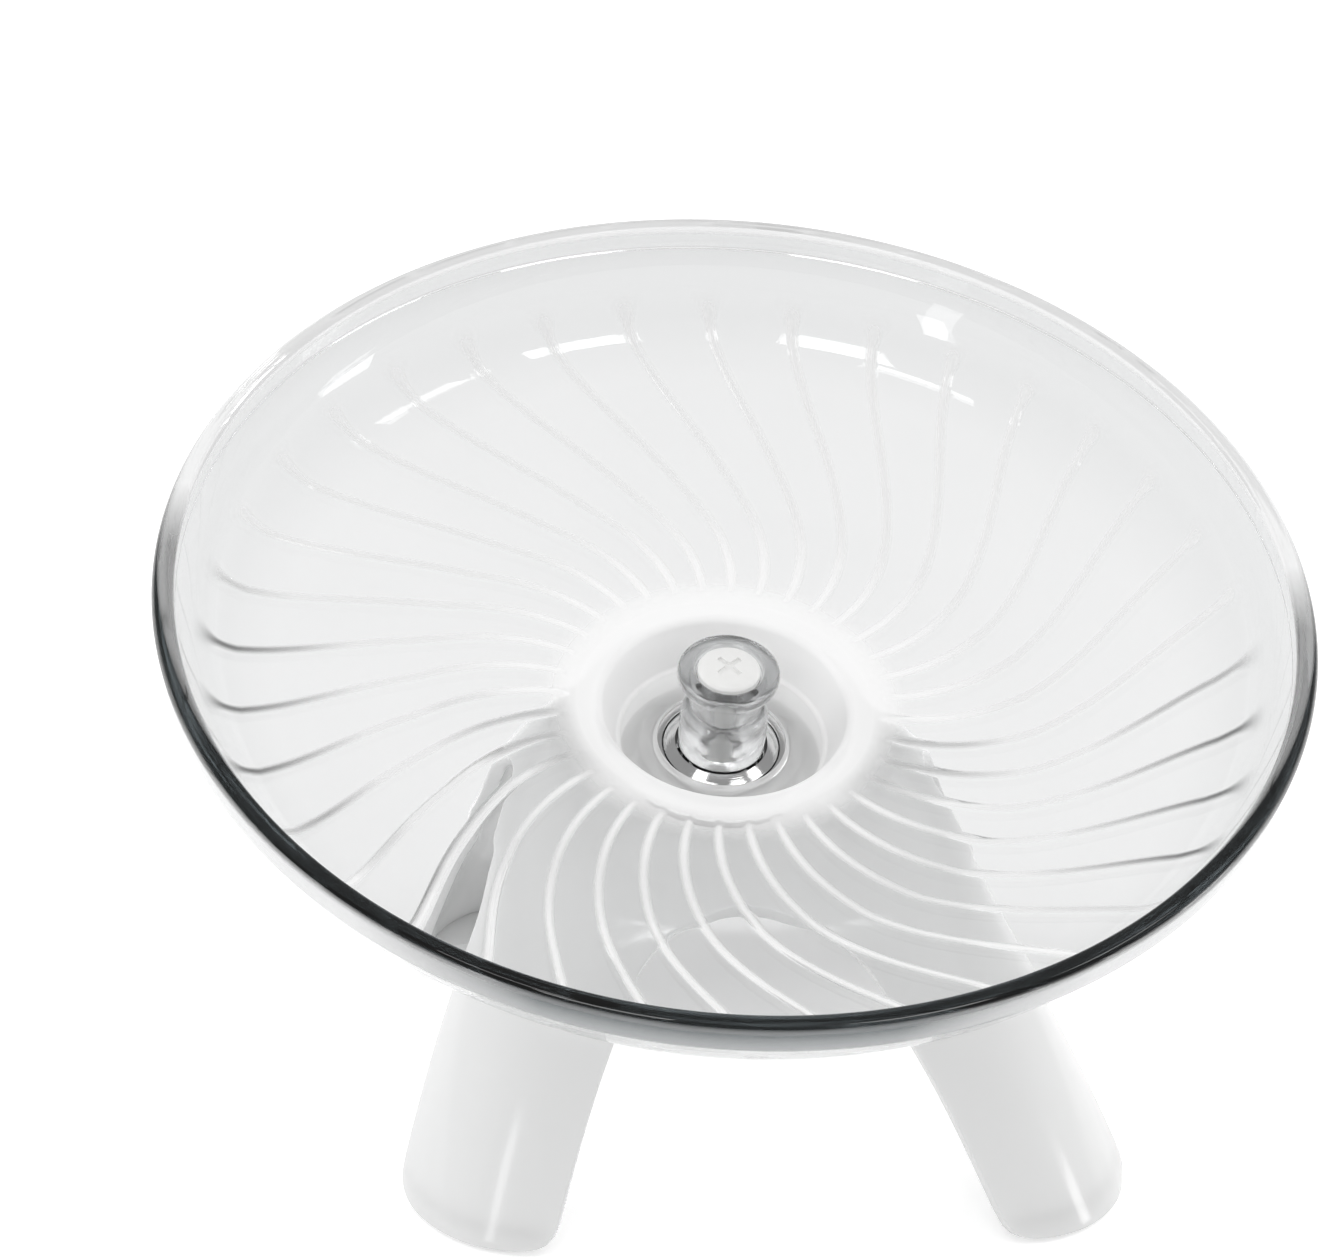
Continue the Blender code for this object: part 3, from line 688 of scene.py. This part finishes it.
def ribPresence(radius):
    # Ribs fade in at the hub and out under the rim
    rise = smoothStep((radius - dish["ribStart"]) / dish["ribEase"])
    fall = smoothStep((dish["ribEnd"] + dish["ribEase"] - radius) / dish["ribEase"])
    return rise * fall


def columnPlace(column, radius):
    # From the crest out, four columns reach a rib's foot, the next keeps it crisp, and the rest share the gap
    sector = pi / dish["ribs"]
    half = dish["ribHalfWidth"] / max(radius, dish["ribStart"])
    side = 1 if column >= 0 else -1
    step = abs(column)
    foot = dish["crestColumns"]
    last = dish["sectorColumns"] / 2
    even = step / last * sector
    if step <= foot:
        place = step / foot * half
    else:
        support = half * dish["ribSupport"]
        place = support + (sector - support) * (step - foot - 1) / (last - foot - 1)
    presence = ribPresence(radius)
    return side * (place * presence + even * (1 - presence)), min(step / foot, 1.0)


def nearestRow(radius, height, top):
    # The row of the running surface that a point is on, or none
    distances = [(point[0] - radius) ** 2 + (point[1] - height) ** 2 for point in top]
    row = distances.index(min(distances))
    return row if distances[row] < dish["rowReach"] ** 2 else None


def hubPaintedGlow(radius, height):
    # Painted glow: from above, the well's floor is painted a little white, its flare more, and the dish round
    # it fades to clear
    share = (radius - dish["well"]) / (dish["flare"] - dish["well"])
    if height < -dish["wellDepth"] * (1 - min(max(share, 0.0), 1.0)) - dish["glowReach"]:
        return 0.0
    rise = smoothStep((radius - dish["well"]) / dish["glowRise"] + 1)
    milky = dish["wellFloorGlow"] + (dish["flareGlow"] - dish["wellFloorGlow"]) * rise
    return milky * smoothStep((dish["glowEnd"] - radius) / dish["glowFade"])


def shapeRibs(piece, top):
    # Rings of the running surface follow the swirl and lift into ribs; the others stay even
    normals = surfaceNormals(top)
    paintedLight = piece.data.attributes.new("paintedLight", "FLOAT", "POINT")
    rows = {}
    step = tau / (dish["ribs"] * dish["sectorColumns"])
    for index, vertex in enumerate(piece.data.vertices):
        radius = Vector((vertex.co.x, vertex.co.y)).length
        height = vertex.co.z
        turn = round(atan2(vertex.co.y, vertex.co.x) % tau / step)
        ring = (round(radius, 5), round(height, 5))
        if ring not in rows:
            rows[ring] = nearestRow(radius, height, top)
        lead = swirlAngle(max(radius, dish["ribStart"]))
        paintedLight.data[index].value = hubPaintedGlow(radius, height)
        if rows[ring] is None:
            angle = turn * step + lead
        else:
            sector = (turn + dish["sectorColumns"] // 2 - 1) // dish["sectorColumns"]
            offset, share = columnPlace(turn - sector * dish["sectorColumns"], radius)
            angle = sector * tau / dish["ribs"] + offset + lead
            # Painted highlight along each rib's crest
            crest = ribPresence(radius) * (1 + cos(pi * share)) / 2
            paintedLight.data[index].value = max(paintedLight.data[index].value, crest * dish["crestHighlight"])
            lift = dish["ribHeight"] * crest
            normal = normals[rows[ring]]
            radius += normal[0] * lift
            height += normal[1] * lift
        vertex.co = (radius * cos(angle), radius * sin(angle), height)


def makeDish():
    top, outline = dishOutline()
    piece = turnPiece("clearDish", outline, dish["ribs"] * dish["sectorColumns"])
    shapeRibs(piece, top)
    shadeByAngle(piece, dish["smoothAngle"])
    tiltPiece(piece)
    return piece


# Stand

stand = {
    "wall": 0.0024, "shoulder": 0.0268, "shoulderRound": 0.0025, "cupRim": -0.0116, "cupFloor": -0.0196,
    "cup": 0.0155, "cupRound": 0.0010, "boss": 0.0062, "spigot": 0.0038, "hole": 0.0019,
    "spigotTop": -0.0091, "bossBottom": -0.0307, "shoulderTop": -0.0172,
    "hubShift": 0.0056, "pivotDepth": 0.0105, "splay": radians(4.7), "backSplay": 0.48,
    "bulge": (0.0500, 0.0480), "foot": 0.0700, "standOff": 0.0010, "halfWidth": 0.0150,
    "edgePull": 0.0041, "pullGrowth": 2, "foldStart": 0.30, "foldDepth": 0.0012,
    "footLift": 0.0022, "liftPower": 8, "archTop": 0.145, "archSpan": 0.36,
    "legs": 4, "columns": 16, "domeRows": 3, "legRows": 18, "rowPower": 1.6,
    "plateThickness": 0.0020, "plateDepth": 0.0125, "plateTaper": 0.5, "gap": 0.0003,
    "ribThickness": 0.0018, "ribReach": 0.0270, "ribDrop": 0.0070,
    "ribFootShare": 1.6, "ribCeilingShare": 0.6,
    "seamReach": 0.00005, "edgeRound": 0.0004, "edgeAngle": radians(60), "smoothAngle": radians(40),
    "bossRound": 0.0003, "bossSteps": 64,
    "padHeight": 0.0018, "padRadius": 0.0050, "padRound": 0.0004, "padSteps": 48,
}
footCentre = Vector((stand["hubShift"], dishCentre.y - stand["pivotDepth"] * dishAxis.y, 0))
pivotHeight = dishCentre.z - stand["pivotDepth"] * dishAxis.z


def splayed(angle):
    # The front legs stand a little wider apart, and the back ones a little closer
    return angle + stand["splay"] * cos(angle) * (1 + stand["backSplay"] * sin(angle))


def legDirection(legAngle):
    return Vector((cos(splayed(legAngle)), sin(splayed(legAngle)), 0))


def legPoint(share, angle, inset=0.0):
    # A point on the curve from the tilted shoulder over the bulge down to the foot
    radius = stand["shoulder"] - inset
    top = tiltFrame @ Vector((radius * cos(angle), radius * sin(angle), stand["cupRim"] - inset))
    outward = Vector((cos(angle), sin(angle), 0))
    bulgeReach, bulgeHeight = stand["bulge"]
    lean = Vector((-stand["hubShift"] * bulgeHeight / pivotHeight, 0, bulgeHeight - inset))
    bulge = footCentre + lean + outward * (bulgeReach - inset)
    foot = footCentre + outward * (stand["foot"] - inset) + Vector((0, 0, stand["standOff"]))
    return top * (1 - share) ** 2 + bulge * 2 * share * (1 - share) + foot * share ** 2


def legHalfAngle(share, reach):
    # The dome is whole down to the arches, which then open in a quarter of an ellipse
    sector = pi / stand["legs"]
    if share <= stand["archTop"]:
        return sector
    leg = asin(stand["halfWidth"] / reach)
    opened = 1 - min((share - stand["archTop"]) / stand["archSpan"], 1.0)
    return leg + (sector - leg) * (1 - sqrt(1 - opened ** 2))


def sectorPoint(share, side, legAngle, inset=0.0):
    reach = stand["shoulder"] + (stand["foot"] - stand["shoulder"]) * share
    point = legPoint(share, splayed(legAngle + side * legHalfAngle(share, reach)), inset)
    below = max(share - stand["archTop"], 0.0) / (1 - stand["archTop"])
    inner = side if sin(legAngle) * cos(legAngle) > 0 else -side
    fold = max(inner - stand["foldStart"], 0.0) / (1 - stand["foldStart"])
    pull = stand["edgePull"] * side ** 2 + stand["foldDepth"] * fold
    point -= legDirection(legAngle) * pull * smoothStep(below * stand["pullGrowth"])
    point.z += stand["footLift"] * side ** stand["liftPower"] * share ** stand["liftPower"]
    return point


def legAngles():
    return [-pi / 2 + pi / stand["legs"] * (2 * index + 1) for index in range(stand["legs"])]


def standRows():
    # Places from the cup's floor out to the shoulder, then shares down the dome and leg
    cup = stand["cup"]
    turn = stand["cupRound"]
    centre = [
        (stand["boss"], stand["cupFloor"]), ((stand["boss"] + cup) / 2, stand["cupFloor"]),
        (cup - turn, stand["cupFloor"]), (cup, stand["cupFloor"] + turn),
        (cup, stand["cupRim"] - turn), (cup + turn, stand["cupRim"]),
        (stand["shoulder"] - stand["shoulderRound"], stand["cupRim"]),
    ]
    dome = [stand["archTop"] * row / stand["domeRows"] for row in range(stand["domeRows"])]
    leg = [(row / stand["legRows"]) ** stand["rowPower"] for row in range(stand["legRows"] + 1)]
    return centre, dome + [stand["archTop"] + (1 - stand["archTop"]) * share for share in leg]


def makeSector(index, legAngle):
    # One quarter of the stand, from the cup down one leg, shaped from a grid
    centre, shares = standRows()
    rows = len(centre) + len(shares)
    deselectAll()
    bpy.ops.mesh.primitive_grid_add(x_subdivisions=stand["columns"], y_subdivisions=rows - 1, size=1)
    piece = bpy.context.object
    piece.name = f"standQuarter{index}"
    for vertex in piece.data.vertices:
        side = 2 * vertex.co.x
        row = round((vertex.co.y + 0.5) * (rows - 1))
        if row < len(centre):
            angle = splayed(legAngle + side * pi / stand["legs"])
            radius, height = centre[row]
            vertex.co = tiltFrame @ Vector((radius * cos(angle), radius * sin(angle), height))
        else:
            vertex.co = sectorPoint(shares[row - len(centre)], side, legAngle)
    return piece


def makeFootPlate(index, legAngle):
    # A level plate inside the foot, which carries the pad
    outward = legDirection(legAngle)
    bottom = stand["padHeight"] + stand["gap"]
    # Near the foot the leg's curve rises in step with its share
    rise = bottom + stand["plateThickness"] / 2 - stand["standOff"]
    share = 1 - rise / 2 / (stand["bulge"][1] - stand["standOff"])
    steps = stand["columns"] + 2
    sides = [2 * step / steps - 1 for step in range(1, steps)]
    front = [sectorPoint(share, side, legAngle, stand["wall"] / 2) for side in sides]
    inner = footCentre.dot(outward) + stand["foot"] - stand["plateDepth"]
    middle = (front[0] + front[-1]) / 2
    innerMiddle = middle - outward * (middle.dot(outward) - inner)
    back = [innerMiddle + (corner - middle) * stand["plateTaper"] for corner in (front[-1], front[0])]
    corners = [(point.x, point.y, bottom) for point in front + back]
    return extrudePlate(f"footPlate{index}", corners, (0, 0, stand["plateThickness"]))


def makeBossRib(index, legAngle):
    # A thin upright web from the boss out to the shoulder
    ceiling = stand["cupRim"] - stand["wall"] * stand["ribCeilingShare"]
    floor = stand["cupFloor"] - stand["wall"] / 2
    outline = [
        (stand["boss"] / 2, floor), (stand["cup"], floor), (stand["cup"] + stand["wall"] / 2, ceiling),
        (stand["ribReach"], ceiling), (stand["ribReach"], ceiling - stand["ribDrop"] / 2),
        (stand["boss"] / 2, stand["bossBottom"] + stand["ribThickness"] * stand["ribFootShare"]),
    ]
    outward = legDirection(legAngle)
    across = Vector((-outward.y, outward.x, 0)) * stand["ribThickness"]
    corners = [outward * radius + Vector((0, 0, height)) - across / 2 for radius, height in outline]
    piece = extrudePlate(f"bossRib{index}", corners, across)
    tiltPiece(piece)
    return piece


def makeStand():
    quarters = [makeSector(index, legAngle) for index, legAngle in enumerate(legAngles())]
    shell = joinPieces(quarters)
    shell.name = "whiteStand"
    editMode()
    closeSeams(stand["seamReach"])
    # An open shell can come out either way round, and its first face is the cup's floor
    if shell.data.polygons[0].normal.dot(dishAxis) < 0:
        shell.data.flip_normals()
    thickness = shell.modifiers.new("thickness", "SOLIDIFY")
    thickness.thickness = stand["wall"]
    thickness.offset = -1
    thickness.use_even_offset = True
    roundEdges(shell, stand["edgeRound"], stand["edgeAngle"])
    smooth = shell.modifiers.new("smooth", "SUBSURF")
    smooth.levels = 1
    smooth.render_levels = 1
    applyModifiers(shell)
    boss = turnPiece("standBoss", roundedOutline([
        (stand["hole"], stand["spigotTop"]), (stand["spigot"], stand["spigotTop"]),
        (stand["spigot"], stand["shoulderTop"]), (stand["boss"], stand["shoulderTop"]),
        (stand["boss"], stand["bossBottom"]), (stand["hole"], stand["bossBottom"]),
    ], stand["bossRound"]), stand["bossSteps"])
    tiltPiece(boss)
    extras = [makeFootPlate(index, angle) for index, angle in enumerate(legAngles())]
    extras += [makeBossRib(index, angle) for index, angle in enumerate(legAngles())]
    piece = joinPieces([shell, boss] + extras)
    shadeByAngle(piece, stand["smoothAngle"])
    return piece


def makePad(name):
    low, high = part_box(name)
    middle = (low + high) / 2
    radius = stand["padRadius"]
    axis = workshop["axisRadius"]
    corners = [(axis, stand["padHeight"]), (radius, stand["padHeight"]), (radius, 0.0), (axis, 0.0)]
    outline = roundedOutline(corners, stand["padRound"])
    piece = turnPiece(name.replace("foot_pad", "pad"), outline, stand["padSteps"])
    for vertex in piece.data.vertices:
        vertex.co += Vector((middle.x, middle.y, 0))
    shadeByAngle(piece)
    return piece


# Hub pieces: cap, screw and bearing

cap = {
    "bottom": -0.0085, "top": 0.0080, "foot": 0.0070, "shoulder": -0.0004, "neck": 0.0056, "head": 0.0081,
    "headThickness": 0.0030, "round": 0.0008, "roundSteps": 5, "steps": 96,
    "bore": 0.0019, "recess": 0.0053, "counterbore": 0.0016,
}


def makeCap():
    top = cap["top"]
    headBottom = top - cap["headThickness"]
    recessFloor = top - cap["counterbore"]
    fillet = cap["round"]
    corners = [
        (cap["bore"], cap["bottom"]), (cap["foot"], cap["bottom"]), (cap["foot"], cap["shoulder"] - fillet),
        (cap["foot"] - fillet, cap["shoulder"] + fillet / 2), (cap["neck"], cap["shoulder"] + fillet),
        (cap["neck"], headBottom), (cap["head"], headBottom + fillet), (cap["head"], top),
        (cap["recess"], top), (cap["recess"], recessFloor), (cap["bore"], recessFloor),
    ]
    return turnOnAxle("clearCap", roundedOutline(corners, fillet, cap["roundSteps"]), cap["steps"])


screw = {
    "seat": 0.0067, "head": 0.0050, "headHeight": 0.0021, "shank": 0.0016, "end": -0.0277, "point": 0.002,
    "domeSteps": 8, "domeTurnShare": 0.9, "domeFootShare": 0.25, "rimHeightShare": 0.15, "seatShare": 0.98,
    "crossLength": 0.0048, "crossWidth": 0.0009, "crossDepth": 0.0005, "crossTurn": radians(40),
    "edgeRound": 0.00012, "edgeAngle": radians(40), "steps": 72,
}


def screwOutline():
    seat = screw["seat"]
    head = screw["head"]
    rise = screw["headHeight"]
    foot = screw["domeFootShare"]
    steps = screw["domeSteps"]
    turns = [step / steps * pi / 2 * screw["domeTurnShare"] for step in range(1, steps + 1)]
    dome = [(head * sin(turn), seat + rise * (foot + (1 - foot) * sqrt(cos(turn)))) for turn in turns]
    rim = [(head, seat + rise * screw["rimHeightShare"]), (head * screw["seatShare"], seat)]
    shank = [(screw["shank"], seat), (screw["shank"], screw["end"] + screw["point"])]
    axis = workshop["axisRadius"]
    return [(axis, seat + rise)] + dome + rim + shank + [(axis, screw["end"])]


def makeCrossBar(turn):
    bpy.ops.mesh.primitive_cube_add(size=1, location=(0, 0, screw["seat"] + screw["headHeight"]))
    bar = bpy.context.object
    bar.scale = (screw["crossLength"], screw["crossWidth"], screw["crossDepth"] * 2)
    bar.rotation_euler.z = turn
    bpy.ops.object.transform_apply(location=True, rotation=True, scale=True)
    return bar


def makeScrew():
    piece = turnPiece("capScrew", screwOutline(), screw["steps"])
    bars = []
    for turn in (screw["crossTurn"], screw["crossTurn"] + pi / 2):
        deselectAll()
        bars.append(makeCrossBar(turn))
        cut = piece.modifiers.new("cross", "BOOLEAN")
        cut.operation = "DIFFERENCE"
        cut.object = bars[-1]
    roundEdges(piece, screw["edgeRound"], screw["edgeAngle"])
    applyModifiers(piece)
    for bar in bars:
        bpy.data.objects.remove(bar, do_unlink=True)
    shadeByAngle(piece)
    tiltPiece(piece)
    return piece


bearing = {
    "outer": 0.0110, "race": 0.0094, "innerRace": 0.0060, "bore": 0.0040, "top": -0.0088, "bottom": -0.0158,
    "chamfer": 0.0003, "grooveHalf": 0.0009, "grooveDepth": 0.0004, "steps": 96,
    "shieldInner": 0.0074, "shieldOuter": 0.0092, "shieldThickness": 0.0005, "shieldRecess": 0.0002,
    "shieldRise": 0.0008, "crownSteps": 8, "crownSwell": 0.125,
    "retainerInner": 0.0086, "retainerOuter": 0.0109, "retainerThickness": 0.0018, "seat": 0.0003,
    "washerInner": 0.0041, "washerOuter": 0.0059, "washerThickness": 0.0008, "washerChamfer": 0.0001,
}


def makeRing(name, corners, fillet):
    return turnOnAxle(name, roundedOutline(corners, fillet), bearing["steps"])


def flatRing(name, inner, outer, thickness, fillet):
    # A flat ring just under the bearing
    top = bearing["bottom"] - bearing["seat"]
    bottom = top - thickness
    return makeRing(name, [(inner, top), (outer, top), (outer, bottom), (inner, bottom)], fillet)


def makeRace(name, race, back):
    # A ring from its plain back to the race, whose groove is cut towards the back
    top = bearing["top"]
    bottom = bearing["bottom"]
    groove = (top + bottom) / 2
    half = bearing["grooveHalf"]
    depth = bearing["grooveDepth"] if back > race else -bearing["grooveDepth"]
    corners = [
        (back, bottom), (back, top), (race, top), (race, groove + half), (race + depth, groove),
        (race, groove - half), (race, bottom),
    ]
    return makeRing(name, corners, bearing["chamfer"])


def makeShield(name, face, side):
    # A thin ring whose outer face rises to a crown round its hole
    near = face - side * bearing["shieldRecess"]
    far = near - side * bearing["shieldThickness"]
    inner = bearing["shieldInner"]
    outer = bearing["shieldOuter"]
    rise = side * bearing["shieldRise"]
    shares = [step / bearing["crownSteps"] for step in range(bearing["crownSteps"] + 1)]
    crown = [
        (inner + (outer - inner) * share, near + rise * (1 - share) * (1 + share * bearing["crownSwell"]))
        for share in shares
    ]
    return turnOnAxle(name, crown + [(outer, far), (inner, far)], bearing["steps"])


def makeRetainer():
    inner = bearing["retainerInner"]
    outer = bearing["retainerOuter"]
    return flatRing("bearingRetainer", inner, outer, bearing["retainerThickness"], bearing["chamfer"])


def makeWasher():
    inner = bearing["washerInner"]
    outer = bearing["washerOuter"]
    return flatRing("thrustWasher", inner, outer, bearing["washerThickness"], bearing["washerChamfer"])


# Putting it together

def dress(piece, material, body, slot, *replaced):
    piece.data.materials.clear()
    piece.data.materials.append(material)
    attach(piece, body)
    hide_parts(*replaced)


clear = clearPlastic()
white = whitePlastic()
bright = steel("polishedSteel")
shieldSteel = steel("shieldSteel")
print("materials made")

dress(makeDish(), clear, "dish", "clear_plastic", "saucer_dish")
print("dish made")
dress(makeStand(), white, "stand", "stand_white", "stand")
print("stand made")
dress(makeCap(), capPlastic(), "stand", "cap_plastic", "axle_cap")
dress(makeScrew(), screwPlastic(), "stand", "screw_white", "cap_screw")
outerRace = makeRace("outerRace", bearing["race"], bearing["outer"])
dress(outerRace, bright, "dish", "bearing_steel", "bearing_outer_race")
innerRace = makeRace("innerRace", bearing["innerRace"], bearing["bore"])
dress(innerRace, bright, "stand", "bearing_steel", "bearing_inner_race")
topShield = makeShield("shieldTop", bearing["top"], 1)
dress(topShield, shieldSteel, "dish", "shield_steel", "bearing_shield_top")
bottomShield = makeShield("shieldBottom", bearing["bottom"], -1)
dress(bottomShield, shieldSteel, "dish", "shield_steel", "bearing_shield_bottom")
dress(makeRetainer(), mattPlastic("retainerPlastic"), "dish", "retainer_plastic", "bearing_retainer")
dress(makeWasher(), steel("washerSteel"), "stand", "washer_steel", "thrust_washer")
print("hub made")
padRubber = mattPlastic("padRubber")
for padName in ("foot_pad_front_left", "foot_pad_front_right", "foot_pad_back_left", "foot_pad_back_right"):
    dress(makePad(padName), padRubber, "stand", "pad_rubber", padName)
print("pads made")
# The cage and the balls keep their own meshes
nodes["bearing_cage"].data.materials[0] = mattPlastic("cagePlastic")
for name, node in nodes.items():
    if name.startswith("bearing_ball"):
        node.data.materials[0] = bright
print("cage and balls coloured")


# Set: floor, light and camera

studio = {
    "floorSize": 12.0, "floorTone": 0.84, "floorShade": 0.99, "floorGrain": 40.0, "floorRoughness": 0.9,
    "floorGlow": 0.48, "throughGlow": 0.20,
    "roomLight": 0.68, "roomDark": 0.35, "horizon": (0.10, 0.45),
    "cameraFromDish": (-0.088564, -0.6576266, 0.2981314),
    "cameraTurn": (radians(66.71277666), radians(-1.87626677), radians(-5.94235225)),
    "lens": 125.3297, "sensor": 36.0, "clipStart": 0.01,
}


def seenDirectly(graph):
    # The glow that the eye and mirrors see on the floor, and the fainter one that clear walls see
    full = graph.lightPath("Is Camera Ray").math("MAXIMUM", graph.lightPath("Is Glossy Ray"))
    through = graph.lightPath("Is Transmission Ray")
    return full * (1 - through) * studio["floorGlow"] + through * studio["throughGlow"]


def makeFloor():
    deselectAll()
    bpy.ops.mesh.primitive_plane_add(size=studio["floorSize"])
    floor = bpy.context.object
    floor.name = "paleFloor"
    finish = Finish("palePaper")
    grain = finish.noise(finish.objectPlace(), studio["floorGrain"])
    tone = studio["floorTone"]
    finish.principled(
        Base_Color=finish.mixColour(grain, grey(tone * studio["floorShade"]), grey(tone)),
        Emission_Color=finish.mixColour(seenDirectly(finish), grey(0.0), grey(1.0)),
        Emission_Strength=1.0, Roughness=studio["floorRoughness"], Specular_IOR_Level=0.0,
    )
    floor.data.materials.append(finish.material)


def makeWorld():
    # White to the eye and through clear walls; mirrors see white near the horizon and a darker room above
    world = bpy.data.worlds.new("studio")
    bpy.context.scene.world = world
    world.use_nodes = True
    graph = Graph(world.node_tree)
    direction = graph.add("ShaderNodeTexCoord", output="Generated")
    low, high = studio["horizon"]
    upward = graph.add("ShaderNodeSeparateXYZ", inputs={"Vector": direction}, output="Z")
    room = graph.rise(upward, low, high - low) * (studio["roomDark"] - 1.0) + 1.0
    seen = graph.lightPath("Is Camera Ray").math("MAXIMUM", graph.lightPath("Is Transmission Ray"))
    mirrored = graph.lightPath("Is Glossy Ray")
    rest = mirrored * room + (1 - mirrored) * studio["roomLight"]
    background = graph.tree.nodes["Background"]
    graph.set(background, "Strength", seen + (1 - seen) * rest)
    graph.set(background, "Color", grey(1.0))


# Place, target, width and height, power, and whether mirrors and clear walls show it
lamps = {
    "frontLeftLamp": ((-0.20, -0.59, 0.85), (0, 0, 0.05), (0.24, 0.22), 0.75, True),
    "frontRightLamp": ((0.33, -0.51, 0.88), (0, 0, 0.05), (0.22, 0.20), 0.65, True),
    "leftSoftbox": ((-1.00, 0.10, 0.45), (0, 0, 0.05), (0.70, 0.50), 3.1, False),
    "rightSoftbox": ((1.00, 0.30, 0.45), (0, 0, 0.05), (0.60, 0.50), 2.5, False),
    "lowLeftStrip": ((-0.65, -0.75, 0.20), (0, 0, 0.04), (0.10, 0.30), 0.30, True),
    "lowRightStrip": ((0.95, -0.20, 0.10), (0, 0, 0.03), (0.20, 0.16), 0.40, True),
    "highLeftLamp": ((-0.26, -0.33, 0.98), (0, 0, 0.05), (0.20, 0.12), 0.28, True),
    "highRightLamp": ((0.53, -0.20, 0.89), (0, 0, 0.05), (0.20, 0.12), 0.28, True),
}


def addLamp(name, place, target, size, power, shown):
    deselectAll()
    bpy.ops.object.light_add(type="AREA", location=place)
    lamp = bpy.context.object
    lamp.name = name
    lamp.data.shape = "RECTANGLE"
    lamp.data.size, lamp.data.size_y = size
    lamp.data.energy = power
    lamp.visible_glossy = shown
    lamp.visible_transmission = shown
    lamp.rotation_euler = (Vector(target) - Vector(place)).to_track_quat("-Z", "Y").to_euler()


def makeCamera():
    camera = bpy.data.objects.new("camera", bpy.data.cameras.new("camera"))
    bpy.context.scene.collection.objects.link(camera)
    camera.location = dishCentre + Vector(studio["cameraFromDish"])
    camera.rotation_euler = studio["cameraTurn"]
    camera.data.lens = studio["lens"]
    camera.data.sensor_width = studio["sensor"]
    camera.data.sensor_fit = "HORIZONTAL"
    camera.data.clip_start = studio["clipStart"]
    bpy.context.scene.camera = camera


makeFloor()
makeWorld()
for name, settings in lamps.items():
    addLamp(name, *settings)
makeCamera()
bpy.context.scene.view_settings.view_transform = "Standard"
print("set made")
